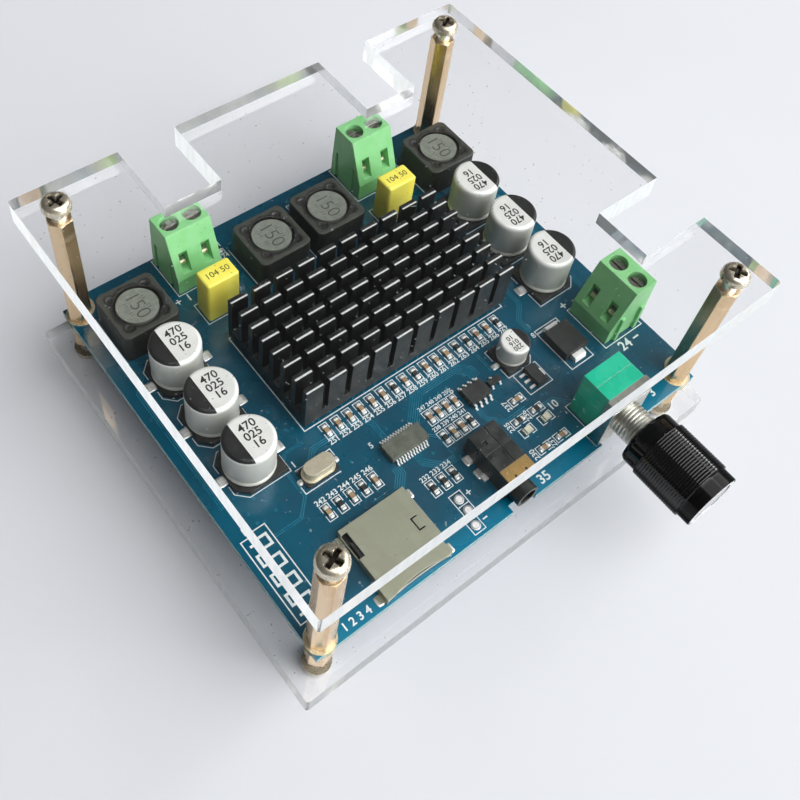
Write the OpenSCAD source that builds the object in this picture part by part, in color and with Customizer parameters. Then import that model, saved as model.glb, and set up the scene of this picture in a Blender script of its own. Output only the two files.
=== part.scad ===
// Stereo audio amplifier board with volume control, held between two clear plates.
// Millimetres, +Z up, standing on its screw heads; +Y points to the loudspeaker terminals.

/* [Plates] */
// thickness of each clear plate
plate_t = 5; // [3:0.5:8]
// how far the plates stand out past the board's left and right edges
plate_over_x = 3.75; // [2:0.25:8]
// how far the plates stand out past the board's front and back edges
plate_over_y = 3.1; // [2:0.1:8]
// width of each notch over a terminal block
notch_w = 12; // [10:0.5:16]
// depth of each notch from the plate's edge
notch_d = 16; // [10:0.5:20]

/* [Standoffs and screws] */
// gap between the board and the top plate
upper_len = 27.3; // [20:0.1:40]
// gap between the bottom plate and the board
lower_len = 6.6; // [5:0.1:15]
// width across flats of the hexagonal standoffs
hex_af = 4.4; // [4:0.1:6]
// thread diameter of the standoffs and screws
thread_d = 2.5; // [2:0.1:3]
// how far the top screws reach into the upper standoffs
thread_in = 3; // [2:0.1:6]
// space left between the two threads that meet inside a lower standoff
stud_gap = 0.6; // [0.2:0.1:2]
// diameter of the screw heads
head_d = 5.4; // [4.2:0.1:6]
// height of the screw heads
head_h = 1.9; // [1.2:0.1:2.5]
// distance of the standoffs from the board's edges
hole_in = 2.6; // [2.4:0.1:4]

/* [Board] */
// thickness of the circuit board
board_t = 1.6; // [1:0.2:2.4]
// space between the board's side edges and the filter capacitors
edge_gap = 5.2; // [3:0.1:12]
// space between the filter capacitors and the heatsink
can_to_sink = 7.1; // [4:0.1:12]
// sideways shift of the part layout from the board's middle
layout_shift = 0.25; // [0:0.05:1]
// space between the card socket and the row of small chips behind it
card_to_row = 4.4; // [2:0.1:8]
// from that row to the middle of the decoder chip
row_to_chip = 2.6; // [1:0.1:6]
// from the decoder chip to the row of chips in front of the heatsink
chip_to_line = 10.6; // [8:0.1:16]
// from that row of chips to the heatsink
line_to_sink = 2.4; // [1.5:0.1:5]
// space between the last filter capacitor and the inductor behind it
can_to_coil = 1.75; // [0.5:0.05:6]
// from the middle of the inductors to the front of the loudspeaker terminals
coil_to_terminal = 2.3; // [0:0.1:6]
// space between the loudspeaker terminals' wire side and the board's edge
terminal_edge = 0.8; // [0:0.1:3]
// space between the supply terminal's wire side and the board's edge
supply_edge = 1.1; // [0:0.1:3]

/* [Heatsink] */
// length of the heatsink
sink_w = 50.4; // [40:0.2:60]
// width of the heatsink
sink_d = 25; // [20:0.2:30]
// height of the heatsink
sink_h = 11.4; // [8:0.2:16]
// thickness of the heatsink's base
sink_base = 2.6; // [1.5:0.1:5]
// number of fins across the width
fin_rows = 8; // [4:1:12]
// number of fins along the length
fin_cols = 10; // [5:1:14]
// thickness of each fin
fin_t = 1.2; // [0.8:0.1:2]
// width of the saw cuts across the fins
cut_w = 1.4; // [0.8:0.1:2.5]
// height of the amplifier chip below the heatsink
chip_h = 1.5; // [1:0.1:3]

/* [Filter capacitors] */
// diameter of the filter capacitors' cans
can_d = 10; // [8:0.5:12.5]
// height of the filter capacitors
can_h = 10.2; // [8:0.2:14]
// gap between the bases in the left row
left_gap = 1.7; // [0.3:0.1:4]
// gap between the bases in the right row
right_gap = 1.35; // [0.3:0.05:4]
// diameter of the small capacitor
small_d = 6.3; // [5:0.1:8]
// height of the small capacitor
small_h = 5.8; // [4:0.1:8]
// thickness of the capacitors' plastic bases
base_t = 1; // [0.6:0.1:2]

/* [Inductors and film capacitors] */
// side of the square inductors
coil_s = 12.1; // [9:0.1:13]
// height of the inductors
coil_h = 7.2; // [5:0.1:9]
// diameter of the inductors' core discs
core_d = 8.2; // [6:0.1:9.5]
// gap between the two inductors behind the heatsink
coil_gap = 2; // [0.5:0.1:5]
// length of the film capacitors
film_w = 7.2; // [5:0.1:9]
// thickness of the film capacitors
film_d = 4.6; // [3:0.1:6]
// height of the film capacitors
film_h = 11; // [8:0.1:14]

/* [Terminal blocks] */
// distance between a terminal block's two ways
way_pitch = 5.08; // [5:0.01:5.5]
// depth of a terminal block
term_d = 10; // [9:0.1:12]
// height of a terminal block
term_h = 14; // [13:0.1:18]
// depth of a terminal block's top face
term_top = 5.8; // [5:0.1:7]
// height of the upright skirt on the inner side
term_skirt = 4; // [3:0.1:4.8]
// diameter of the screw wells in the top face
well_d = 3.9; // [3.6:0.1:4.2]
// diameter of the clamp screws' heads
screw_head_d = 3.3; // [2.8:0.1:3.4]
// diameter of the clamp screws' shanks
screw_d = 2.6; // [2:0.1:2.8]
// opening below the contact bar for the wire, with the clamp down
wire_h = 3; // [2:0.1:3]
// opening that is left with the clamp raised
wire_min = 0.4; // [0.2:0.1:1]
// running clearance around moving pieces
run_gap = 0.06; // [0.02:0.01:0.1]

/* [Volume control] */
// width of the control's body
pot_w = 9.4; // [8:0.1:12]
// depth of one of the control's two sections
gang_d = 3.3; // [2.5:0.1:5]
// height of the control's body
pot_h = 11.6; // [10:0.1:14]
// height of the shaft above the board
shaft_z = 6.5; // [5:0.1:8]
// diameter of the shaft
shaft_d = 6; // [4:0.1:6.2]
// outside diameter of the threaded bushing
bush_d = 7; // [6.6:0.1:9]
// length of the bushing in front of its plate
bush_len = 4.4; // [3:0.1:8]
// diameter of the knob's collars
knob_d = 11.9; // [11:0.1:18]
// diameter of the knob's grip band
grip_d = 12.7; // [12:0.1:19]
// length of the knob
knob_len = 17; // [10:0.1:22]
// distance of the control from the board's right edge
pot_from_edge = 22.9; // [15:0.1:30]

/* [Sockets] */
// distance of the card socket from the middle of the layout
card_from_mid = 25.4; // [24:0.1:28]
// width of the memory card socket
card_w = 14.6; // [12:0.1:17]
// depth of the memory card socket
card_d = 14.4; // [12:0.1:17]
// height of the memory card socket
card_h = 1.9; // [1.6:0.1:2.6]
// thickness of the card socket's metal shield
shield_t = 0.2; // [0.15:0.05:0.3]
// how far the card slider moves
slider_travel = 1.8; // [1:0.1:2.5]
// width of the audio jack's body
jack_w = 6.4; // [5.6:0.1:9]
// length of the audio jack's body
jack_l = 11.2; // [9:0.1:14]
// height of the audio jack's body
jack_h = 5.4; // [5:0.1:7]
// diameter of the plug hole in the audio jack
plug_d = 3.6; // [3.5:0.05:4]
// outside diameter of the audio jack's nose
nose_d = 5; // [4.4:0.1:6]

/* [Small parts] */
// length of the chip resistors and chip capacitors
chip_l = 1.7; // [1:0.1:2]
// width of the chip resistors and chip capacitors
chip_w = 0.9; // [0.5:0.05:1.2]
// height of the chip resistors and chip capacitors
chip_t = 0.5; // [0.3:0.05:0.8]
// number of chips in the row in front of the heatsink
line_count = 17; // [8:1:18]

/* [Hidden] */
$fn = 48;
eps = 0.01;

// layout along the board's depth, from the front edge
card_y0 = 0.3;
row_y = card_y0 + card_d + card_to_row;
chip_y = row_y + row_to_chip;
line_y = chip_y + chip_to_line;
sink_y0 = line_y + line_to_sink;
sink_y = sink_y0 + sink_d / 2;
base_s = can_d + 0.3;
left_pitch = base_s + left_gap;
right_pitch = base_s + right_gap;
can_y = sink_y - 0.25;
coil_y = can_y + max(left_pitch, right_pitch) + base_s / 2 + can_to_coil + coil_s / 2;
term_y = coil_y + coil_to_terminal;
board_d = term_y + term_d + terminal_edge;

// layout along the board's width, from the left edge
board_w = 2 * (edge_gap + can_d + can_to_sink) + sink_w;
mid_x = board_w / 2 + layout_shift;
can_x = sink_w / 2 + can_to_sink + can_d / 2;
term_w = 2 * way_pitch;
film_from_mid = [22.4, 22.2];
term_from_mid = [22.3, 23.3];
film_x = [mid_x - film_from_mid[0], mid_x + film_from_mid[1]];
term_x = [mid_x - term_from_mid[0], mid_x + term_from_mid[1]];
coil_x = [mid_x - can_x - 0.4, mid_x + 0.4 - (coil_s + coil_gap) / 2,
          mid_x + 0.4 + (coil_s + coil_gap) / 2, mid_x + can_x + 0.9];
supply_x = board_w - supply_edge - term_d;
supply_y = chip_y - 1.1;
film_y = term_y - 4.4 - film_d / 2;
pot_x = board_w - pot_from_edge;
jack_x = mid_x - 0.35;
card_x = mid_x - card_from_mid;
crystal_pos = [card_x - 2.55, chip_y + 4.9];
small_from_mid = 18.05;
small_from_chip = 2.8;
small_pos = [mid_x + small_from_mid, chip_y + small_from_chip];
diode_pos = [supply_x - 6.7, supply_y];
reg_from_mid = 18.85;
reg_from_chip = 3.5;
reg_pos = [mid_x + reg_from_mid, chip_y - reg_from_chip];
sot_pos = [mid_x + 11.25, chip_y + 0.3];
pre_pos = [mid_x + 6.45, chip_y + 0.3];
dec_pos = [mid_x - 11.65, chip_y];
pad_pos = [jack_x - 10.3, 2.15];
pad_pitch = 2.54;
led_y = 10.2;
led_from_mid = [9.45, 14.35];
led_x = [mid_x + led_from_mid[0], mid_x + led_from_mid[1]];

// levels
board_z = head_h + plate_t + lower_len + board_t;
pot_y0 = 0.4;
pot_plate_t = 2.2;
knob_gap = 0.4;
knob_back = pot_y0 - bush_len - knob_gap;
knob_front = knob_back - knob_len;
org_y = (board_d + plate_over_y + knob_front) / 2;
hole_r = thread_d / 2 + 0.15;
stud_r = thread_d / 2 - 0.03;
lower_in = (lower_len - stud_gap) / 2;

// terminal block, measured from its inner face and the board
bar_t = 0.7;
bar_z = 5.9;
cage_wall = 0.6;
cage_top = 1.2;
cage_z = bar_z - wire_h - cage_wall;
cage_h = cage_wall + wire_h + bar_t + 0.1 + cage_top;
way_w = way_pitch - 0.88;
cage_w = way_w - 0.3;
cavity_y0 = 3.4;
outer_wall = 1;
cage_y0 = cavity_y0 + 1.1;
cage_d = term_d - outer_wall - 0.4 - cage_y0;
screw_y = cage_y0 + cage_d / 2;
clamp_travel = wire_h - wire_min;
cavity_z = cage_z + cage_h + clamp_travel + 0.3;
ledge_z = cavity_z + 1;
screw_head_h = 1.1;
rib_w = 0.9;
rib_rise = 3;
rib_gap = 0.1;
slot_step = 2;
drive_w = 0.6;
small_outline_d = 3.9;
amp_w = 14;
amp_d = 6.1;
chip_seat = 0.1;
coil_round = 1.4;
coil_to_chips = 1.75;
slot_h = 4.6;
slot_w = 1.9;
entry_w = 3.8;
pin_r = 0.5;
pin_y = cavity_y0 + 0.45;

board_green = [0.02, 0.33, 0.42];
acrylic = [0.86, 0.9, 0.92, 0.35];
brass = [0.8, 0.68, 0.5];
nickel = [0.78, 0.77, 0.74];
tin = [0.85, 0.85, 0.84];
black = [0.06, 0.06, 0.065];
green = [0.36, 0.72, 0.36];

module place() translate([-board_w / 2, -org_y, board_z]) children();

module at_holes(z) {
  for (x = [hole_in, board_w - hole_in])
    for (y = [hole_in, board_d - hole_in])
      translate([x, y, z]) children();
}

module rounded(w, d, r) {
  square([w - 2 * r, d], center = true);
  square([w, d - 2 * r], center = true);
  for (x = [-1, 1])
    for (y = [-1, 1])
      translate([x * (w / 2 - r), y * (d / 2 - r)]) circle(r);
}

module block(w, d, h) translate([-w / 2, -d / 2, 0]) cube([w, d, h]);

// Clear plates

module plate_blank() {
  difference() {
    translate([board_w / 2, board_d / 2, 0])
      linear_extrude(plate_t) rounded(board_w + 2 * plate_over_x, board_d + 2 * plate_over_y, 0.6);
    at_holes(-eps) cylinder(h = plate_t + 2 * eps, r = hole_r);
  }
}

module bottom_plate() {
  color(acrylic) place() translate([0, 0, -board_t - lower_len - plate_t]) plate_blank();
}

// the notch follows the terminal block below it, set towards the board's left
module top_plate() {
  color(acrylic) place() translate([0, 0, upper_len]) difference() {
    plate_blank();
    for (x = term_x)
      translate([x - 1.6, board_d + plate_over_y - notch_d, -eps])
        translate([-notch_w / 2, 0, 0]) cube([notch_w, notch_d + 1, plate_t + 2 * eps]);
    translate([board_w + plate_over_x - notch_d, supply_y + 0.6 - notch_w / 2, -eps])
      cube([notch_d + 1, notch_w, plate_t + 2 * eps]);
  }
}

// Standoffs and screws

module hex_post(h) {
  intersection() {
    cylinder(h = h, d = hex_af / cos(30), $fn = 6);
    union() {
      translate([0, 0, 0.35]) cylinder(h = h - 0.7, d = hex_af / cos(30) + 1);
      cylinder(h = 0.35 + eps, r1 = hex_af / 2, r2 = hex_af / 2 + 0.35);
      translate([0, 0, h - 0.35 - eps]) cylinder(h = 0.35 + eps, r1 = hex_af / 2 + 0.35, r2 = hex_af / 2);
    }
  }
}

module lower_standoffs() {
  color(brass) place() at_holes(-board_t - lower_len) rotate([0, 0, 12]) difference() {
    hex_post(lower_len);
    translate([0, 0, -eps]) cylinder(h = lower_len + 2 * eps, d = thread_d);
  }
}

module upper_standoffs() {
  color(brass) place() at_holes(0) rotate([0, 0, 12]) {
    difference() {
      hex_post(upper_len);
      translate([0, 0, upper_len - thread_in - 5]) cylinder(h = thread_in + 6, d = thread_d);
    }
    translate([0, 0, -board_t - lower_in]) cylinder(h = board_t + lower_in + 0.5, r = stud_r);
  }
}

// pan head: a short rim, then a quarter ellipse up to a flat middle
module pan_screw(reach) {
  rim = head_h * 0.35;
  flat_r = head_d * 0.26;
  difference() {
    rotate_extrude() polygon(concat([[0, 0], [head_d / 2, 0]],
      [for (a = [0 : 15 : 90]) [flat_r + (head_d / 2 - flat_r) * cos(a), rim + (head_h - rim) * sin(a)]],
      [[0, head_h]]));
    for (a = [20, 110])
      rotate([0, 0, a]) translate([-head_d * 0.24, -0.3, head_h * 0.5]) cube([head_d * 0.48, 0.6, head_h]);
  }
  translate([0, 0, -plate_t - reach]) cylinder(h = plate_t + reach + 0.3, r = stud_r);
}

module top_screws() {
  color(nickel) place() at_holes(upper_len + plate_t) pan_screw(thread_in);
}

module bottom_screws() {
  color(nickel) place() at_holes(-board_t - lower_len - plate_t) mirror([0, 0, 1]) pan_screw(lower_in);
}

// Circuit board, with a notch for the jack's nose and one beside the volume control

function film_pins() = [for (x = film_x) for (s = [-1, 1]) [x + s * (film_w / 2 - 1.1), film_y]];
function pot_pins() = [for (g = [0, 1]) for (i = [-1, 0, 1])
  [pot_x + i * 2.5, pot_y0 + pot_plate_t + gang_d * (g + 0.5)]];

module pin_spots() {
  for (x = term_x)
    for (s = [-1, 1])
      translate([x + s * way_pitch / 2, term_y + pin_y, 0]) children();
  for (s = [-1, 1])
    translate([supply_x + pin_y, supply_y - s * way_pitch / 2, 0]) children();
  for (p = concat(film_pins(), pot_pins()))
    translate([p[0], p[1], 0]) children();
}

module circuit_board() {
  color(board_green) place() translate([0, 0, -board_t]) difference() {
    cube([board_w, board_d, board_t]);
    at_holes(-eps) cylinder(h = board_t + 2 * eps, r = hole_r);
    pin_spots() translate([0, 0, -eps]) cylinder(h = board_t + 2 * eps, r = pin_r + 0.1, $fn = 24);
    translate([jack_x - nose_d / 2 - 0.4, -1, -eps]) cube([nose_d + 0.8, 2.5, board_t + 2 * eps]);
    translate([pot_x - 4, -1, -eps]) cube([12.4, 2.6, board_t + 2 * eps]);
  }
}

// Heatsink: a comb profile drawn along its length, then sawn across

module heatsink() {
  fin_step = (sink_d - fin_t) / (fin_rows - 1);
  cut_step = (sink_w + cut_w) / fin_cols;
  color(black) place() translate([mid_x - sink_w / 2, sink_y0, chip_h]) difference() {
    rotate([90, 0, 90]) linear_extrude(sink_w) {
      square([sink_d, sink_base]);
      for (i = [0 : fin_rows - 1])
        translate([i * fin_step, 0]) square([fin_t, sink_h]);
    }
    for (i = [1 : fin_cols - 1])
      translate([i * cut_step - cut_w, -1, sink_base]) cube([cut_w, sink_d + 2, sink_h]);
  }
}

module amplifier_chip() {
  color(black) place() translate([mid_x, sink_y, chip_seat]) block(amp_w, amp_d, chip_h - chip_seat);
}

// Electrolytic capacitors: rolled cans on moulded bases

module can(d, h) {
  r = d / 2;
  rotate_extrude() polygon([[0, base_t], [r - 0.2, base_t], [r, base_t + 0.25], [r, base_t + 0.7],
                            [r - 0.35, base_t + 1.1], [r - 0.05, base_t + 1.6], [r - 0.05, h - 0.55],
                            [r - 0.2, h - 0.18], [r - 0.6, h], [0, h]]);
}

function can_pos(i) = i < 3 ? [mid_x - can_x, can_y + (i - 1) * left_pitch]
                            : [mid_x + can_x, can_y + (i - 4) * right_pitch];

module filter_capacitor(i) {
  color([0.82, 0.82, 0.81]) place() translate([can_pos(i)[0], can_pos(i)[1], 0]) can(can_d, can_h);
}
module filter_capacitor_1() filter_capacitor(0);
module filter_capacitor_2() filter_capacitor(1);
module filter_capacitor_3() filter_capacitor(2);
module filter_capacitor_4() filter_capacitor(3);
module filter_capacitor_5() filter_capacitor(4);
module filter_capacitor_6() filter_capacitor(5);

module small_capacitor() {
  color([0.82, 0.82, 0.81]) place() translate([small_pos[0], small_pos[1], 0]) can(small_d, small_h);
}

// square base with two corners cut on the side of the marked lead, grooved below for the leads
module can_base(s, out) {
  c = s * 0.2;
  mirror([out < 0 ? 1 : 0, 0, 0]) difference() {
    linear_extrude(base_t) polygon([[-s / 2, -s / 2], [s / 2 - c, -s / 2], [s / 2, -s / 2 + c],
                                    [s / 2, s / 2 - c], [s / 2 - c, s / 2], [-s / 2, s / 2]]);
    translate([-s, -0.8, -eps]) cube([2 * s, 1.6, 0.35]);
  }
}

module part_bases() {
  color(black) place() {
    for (i = [0 : 5])
      translate([can_pos(i)[0], can_pos(i)[1], 0]) can_base(base_s, i < 3 ? -1 : 1);
    translate([small_pos[0], small_pos[1], 0]) can_base(small_d + 0.3, 1);
    translate([crystal_pos[0], crystal_pos[1], 0]) linear_extrude(0.6) rounded(7.1, 4, 0.5);
  }
}

// Inductors: square shields with a round well for the wound core

module inductor(i) {
  color([0.25, 0.25, 0.25]) place() translate([coil_x[i], coil_y, 0]) difference() {
    linear_extrude(coil_h) rounded(coil_s, coil_s, coil_round);
    translate([0, 0, coil_h - 1]) cylinder(h = 2, d = core_d + 1.4);
    for (x = [-1, 1])
      for (y = [-1, 1])
        translate([x * coil_s * 0.31, y * coil_s * 0.31, coil_h - 0.6]) cylinder(h = 2, r = 1, $fn = 24);
  }
}
module inductor_1() inductor(0);
module inductor_2() inductor(1);
module inductor_3() inductor(2);
module inductor_4() inductor(3);

module inductor_cores() {
  color([0.42, 0.43, 0.42]) place()
    for (x = coil_x)
      translate([x, coil_y, coil_h - 1]) cylinder(h = 0.9, d = core_d);
}

// Film capacitors

module film_capacitor(i) {
  color([0.9, 0.77, 0.12]) place() translate([film_x[i], film_y, 0])
    linear_extrude(film_h) rounded(film_w, film_d, 0.5);
}
module film_capacitor_1() film_capacitor(0);
module film_capacitor_2() film_capacitor(1);

// Terminal blocks: rising wire clamps below screws, test slots on the inner face

module at_block(i) {
  if (i < 2) translate([term_x[i], term_y, 0]) children();
  else translate([supply_x, supply_y, 0]) rotate([0, 0, -90]) children();
}

module yz_extrude(w) translate([-w / 2, 0, 0]) rotate([90, 0, 90]) linear_extrude(w) children();

function slope_y(z) = (z - term_skirt) * (term_d - 0.4 - term_top) / (term_h - term_skirt);

module terminal_housing(i) {
  slot_z0 = term_skirt + 1;
  slot_z1 = slot_z0 + slot_h;
  color(green) place() at_block(i) difference() {
    union() {
      yz_extrude(term_w) polygon([[0, 0], [term_d, 0], [term_d, term_skirt], [term_d - 0.4, term_h],
                                  [term_d - 0.4 - term_top, term_h], [0, term_skirt]]);
      for (y = [term_d * 0.26, term_d * 0.82])
        translate([term_w / 2, y - rib_w / 2, 0]) cube([0.6, rib_w, term_skirt + rib_rise]);
    }
    for (y = [term_d * 0.26, term_d * 0.82])
      translate([-term_w / 2 - eps, y - rib_w / 2 - rib_gap, -eps])
        cube([0.4, rib_w + 2 * rib_gap, term_skirt + rib_rise + 2 * rib_gap]);
    for (s = [-1, 1])
      translate([s * way_pitch / 2, 0, 0]) {
        translate([-way_w / 2, cavity_y0, -eps])
          cube([way_w, term_d - outer_wall - cavity_y0, cavity_z + eps]);
        translate([-entry_w / 2, term_d - outer_wall - eps, cage_z])
          cube([entry_w, outer_wall + 1, wire_h + 1]);
        translate([0, screw_y, cavity_z - eps]) cylinder(h = term_h, d = screw_d + 0.4);
        translate([0, screw_y, ledge_z]) cylinder(h = term_h, d = well_d);
        yz_extrude(slot_w)
          polygon([[-1, slot_z0], [cavity_y0 + eps, slot_z0], [cavity_y0 + eps, slot_z0 + slot_step],
                   [slope_y(slot_z1), slot_z1], [-1, slot_z1]]);
      }
  }
}
module terminal_housing_1() terminal_housing(0);
module terminal_housing_2() terminal_housing(1);
module terminal_housing_3() terminal_housing(2);

module terminal_screw(i, s) {
  color(nickel) place() at_block(i) translate([s * way_pitch / 2, screw_y, 0]) difference() {
    union() {
      translate([0, 0, bar_z + bar_t + 0.05]) cylinder(h = ledge_z + 0.2 - bar_z - bar_t, d = screw_d);
      translate([0, 0, ledge_z + 0.1]) cylinder(h = screw_head_h, d = screw_head_d);
    }
    translate([-screw_head_d, -drive_w / 2, ledge_z + 0.1 + screw_head_h * 0.5])
      cube([2 * screw_head_d, drive_w, screw_head_h]);
  }
}
module terminal_screw_1() terminal_screw(0, -1);
module terminal_screw_2() terminal_screw(0, 1);
module terminal_screw_3() terminal_screw(1, -1);
module terminal_screw_4() terminal_screw(1, 1);
module terminal_screw_5() terminal_screw(2, -1);
module terminal_screw_6() terminal_screw(2, 1);

module wire_clamp(i, s) {
  color([0.75, 0.73, 0.68]) place() at_block(i) translate([s * way_pitch / 2, 0, cage_z]) difference() {
    translate([-cage_w / 2, cage_y0, 0]) cube([cage_w, cage_d, cage_h]);
    translate([-cage_w / 2 + cage_wall, cage_y0 - 1, cage_wall])
      cube([cage_w - 2 * cage_wall, cage_d + 2, wire_h + bar_t + 0.1]);
    translate([0, screw_y, cage_h - cage_top - eps]) cylinder(h = cage_top + 1, r = screw_d / 2 + run_gap);
  }
}
module wire_clamp_1() wire_clamp(0, -1);
module wire_clamp_2() wire_clamp(0, 1);
module wire_clamp_3() wire_clamp(1, -1);
module wire_clamp_4() wire_clamp(1, 1);
module wire_clamp_5() wire_clamp(2, -1);
module wire_clamp_6() wire_clamp(2, 1);

// contact bars that pass through the clamps, bent down to the board pins
module terminal_contacts() {
  bar_w = cage_w - 2 * cage_wall - 0.3;
  color(tin) place()
    for (i = [0 : 2])
      at_block(i)
        for (s = [-1, 1])
          translate([s * way_pitch / 2, 0, 0]) {
            translate([-bar_w / 2, cavity_y0, bar_z])
              cube([bar_w, term_d - outer_wall - cavity_y0, bar_t]);
            translate([-bar_w / 2, cavity_y0, 0.3]) cube([bar_w, 0.8, bar_z]);
            translate([0, pin_y, -board_t - 1.2]) cylinder(h = board_t + 2, r = pin_r, $fn = 24);
          }
}

// Small packaged parts

// moulded package with drafted sides, split at half height
module package(w, d, h) {
  yz_extrude(w) polygon([[-d / 2 + 0.12, 0.1], [d / 2 - 0.12, 0.1], [d / 2, h * 0.5],
                         [d / 2 - 0.15, h], [-d / 2 + 0.15, h], [-d / 2, h * 0.5]]);
}

module rectifier_diode() {
  color(black) place() translate([diode_pos[0], diode_pos[1], 0]) package(6, 6.9, 2.3);
}
module regulator() {
  color(black) place() translate([reg_pos[0], reg_pos[1], 0]) rotate([0, 0, 90]) package(4.5, 2.6, 1.5);
}
module transistor() {
  color(black) place() translate([sot_pos[0], sot_pos[1], 0]) package(2.9, 1.4, 1);
}
module preamp_chip() {
  color(black) place() translate([pre_pos[0], pre_pos[1], 0]) package(4.9, 3.9, 1.5);
}
module decoder_chip() {
  color([0.3, 0.31, 0.29]) place() translate([dec_pos[0], dec_pos[1], 0]) difference() {
    package(8.65, 3.9, 1.5);
    translate([-3.6, -1.2, 1.42]) cylinder(h = 1, r = 0.35, $fn = 24);
  }
}

// drawn can with a rolled flange
module crystal() {
  color(nickel) place() translate([crystal_pos[0], crystal_pos[1], 0.6]) {
    linear_extrude(0.35) rounded(6.9, 3.8, 1.85);
    linear_extrude(2.4) rounded(6.1, 3.1, 1.5);
  }
}

// Leads, tabs, end caps and solder

module gull(reach, w, h) {
  yz_extrude(w) polygon([[0, h], [0, h + 0.2], [reach * 0.45, h + 0.2], [reach * 0.62, 0.2], [reach, 0.2],
                         [reach, 0], [reach * 0.45, 0], [reach * 0.3, h]]);
}

module gull_rows(n, pitch, d, w, h) {
  for (i = [0 : n - 1])
    for (s = [0, 180])
      rotate([0, 0, s]) translate([(i - (n - 1) / 2) * pitch, d / 2, 0]) gull(1.05, w, h);
}

module component_leads() {
  can_lead = 2.4;
  small_lead = 1.9;
  color(tin) place() {
    for (i = [0 : 5])
      for (s = [-1, 1])
        translate([can_pos(i)[0] + s * (base_s / 2 - 1), can_pos(i)[1] - 0.6, 0])
          translate([s < 0 ? -can_lead : 0, 0, 0]) cube([can_lead, 1.2, 0.3]);
    for (s = [-1, 1])
      translate([small_pos[0] + s * (small_d / 2 - 0.8), small_pos[1] - 0.35, 0])
        translate([s < 0 ? -small_lead : 0, 0, 0]) cube([small_lead, 0.7, 0.3]);
    translate([dec_pos[0], dec_pos[1], 0]) gull_rows(12, 0.635, small_outline_d, 0.28, 0.65);
    translate([pre_pos[0], pre_pos[1], 0]) gull_rows(4, 1.27, small_outline_d, 0.42, 0.65);
    translate([mid_x, sink_y, 0]) gull_rows(19, 0.65, amp_d, 0.26, 0.6);
    translate([sot_pos[0], sot_pos[1], 0]) {
      for (x = [-0.95, 0.95])
        translate([x, -0.7, 0]) rotate([0, 0, 180]) gull(0.6, 0.42, 0.4);
      translate([0, 0.7, 0]) gull(0.6, 0.42, 0.4);
    }
    translate([reg_pos[0], reg_pos[1], 0]) {
      for (y = [-1.5, 0, 1.5])
        translate([-2.6, y - 0.25, 0]) cube([1.4, 0.5, 0.35]);
      translate([1.2, -0.85, 0]) cube([1, 1.7, 0.35]);
    }
    translate([diode_pos[0], diode_pos[1], 0])
      for (s = [0, 180])
        rotate([0, 0, s]) yz_extrude(3) polygon([[2.4, 0], [4, 0], [4, 1.25], [3.45, 1.25], [3.45, 1.05],
                                                 [3.75, 1.05], [3.75, 0.1], [2.4, 0.1]]);
    translate([crystal_pos[0], crystal_pos[1], 0])
      for (s = [-1, 1])
        translate([s > 0 ? 3.55 : -4.35, -0.4, 0]) cube([0.8, 0.8, 0.3]);
    for (t = jack_tabs)
      translate([jack_x + t[0] * (jack_w + tab[0]) / 2, jack_y0 + jack_l * t[1], tab[2] / 2])
        cube(tab, center = true);
    for (i = [0 : 2])
      translate([pad_pos[0], pad_pos[1] + i * pad_pitch, 0]) cylinder(h = 0.25, r1 = 0.95, r2 = 0.6);
    for (p = concat(film_pins(), pot_pins()))
      translate([p[0], p[1], -board_t - 1.2]) cylinder(h = board_t + 1.2, r = pin_r, $fn = 24);
    pin_spots() translate([0, 0, -board_t - 0.9]) difference() {
      cylinder(h = 0.9, r1 = pin_r + 0.2, r2 = 1, $fn = 24);
      translate([0, 0, -eps]) cylinder(h = 1, r = pin_r + 0.02, $fn = 24);
    }
    chip_spots("rc") chip_ends();
  }
}

// Chip resistors and capacitors, each as [x, y, turn, kind] with kind "r" or "c"

line_pitch = (sink_w - 7.3) / (line_count - 1);
line_kinds = "ccccccrcrcccrrccr";
function run(x, y, kinds, pitch, turn) =
  [for (i = [0 : len(kinds) - 1]) [x + i * pitch, y, turn, kinds[i]]];
function line_chips() = [for (i = [0 : line_count - 1])
  [mid_x - sink_w / 2 + 3.5 + i * line_pitch, line_y, 0, line_kinds[i % len(line_kinds)]]];
function row_chips() = run(card_x - 5.8, row_y, "crcrc", 2.65, 0);
function pre_chips() = concat(run(pre_pos[0] - 10.5, chip_y + 1.5, "cccc", 2.07, 0),
                              run(pre_pos[0] - 10.95, chip_y - 3.5, "rccr", 2.12, 0));
function jack_chips() = run(pad_pos[0] - 2.35, card_y0 + card_d - 3.1, "rrr", 2.5, 0);
function led_chips() = concat(run(led_x[0] + 0.1, led_y + 2.5, "rr", 4.55, 90),
                              run(led_x[0] + 0.1, led_y - 4.5, "cc", 4.6, 90),
                              run(led_x[0] + 2.9, led_y + 6.2, "c", 1, 90));
function back_chips() = [for (x = concat(coil_x[0], coil_x[2])) for (i = [-1 : 1])
  [x + i * 2.7, coil_y + coil_s / 2 + coil_to_chips, 0, i == 0 ? "r" : "c"]];
function side_chips() = [for (x = term_x) [x + term_w / 2 + 2.6, term_y + 5.6, 0, "r"]];
function chips() = concat(line_chips(), row_chips(), pre_chips(), jack_chips(), led_chips(), back_chips(),
                          side_chips());

module chip_spots(kinds) {
  for (c = chips())
    if (len(search(c[3], kinds)) > 0)
      translate([c[0], c[1], 0]) rotate([0, 0, c[2]]) children();
}

module chip_ends() {
  for (s = [-1, 1])
    translate([0, s * (chip_l / 2 - 0.15), 0]) block(chip_w, 0.3, chip_t);
}

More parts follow.
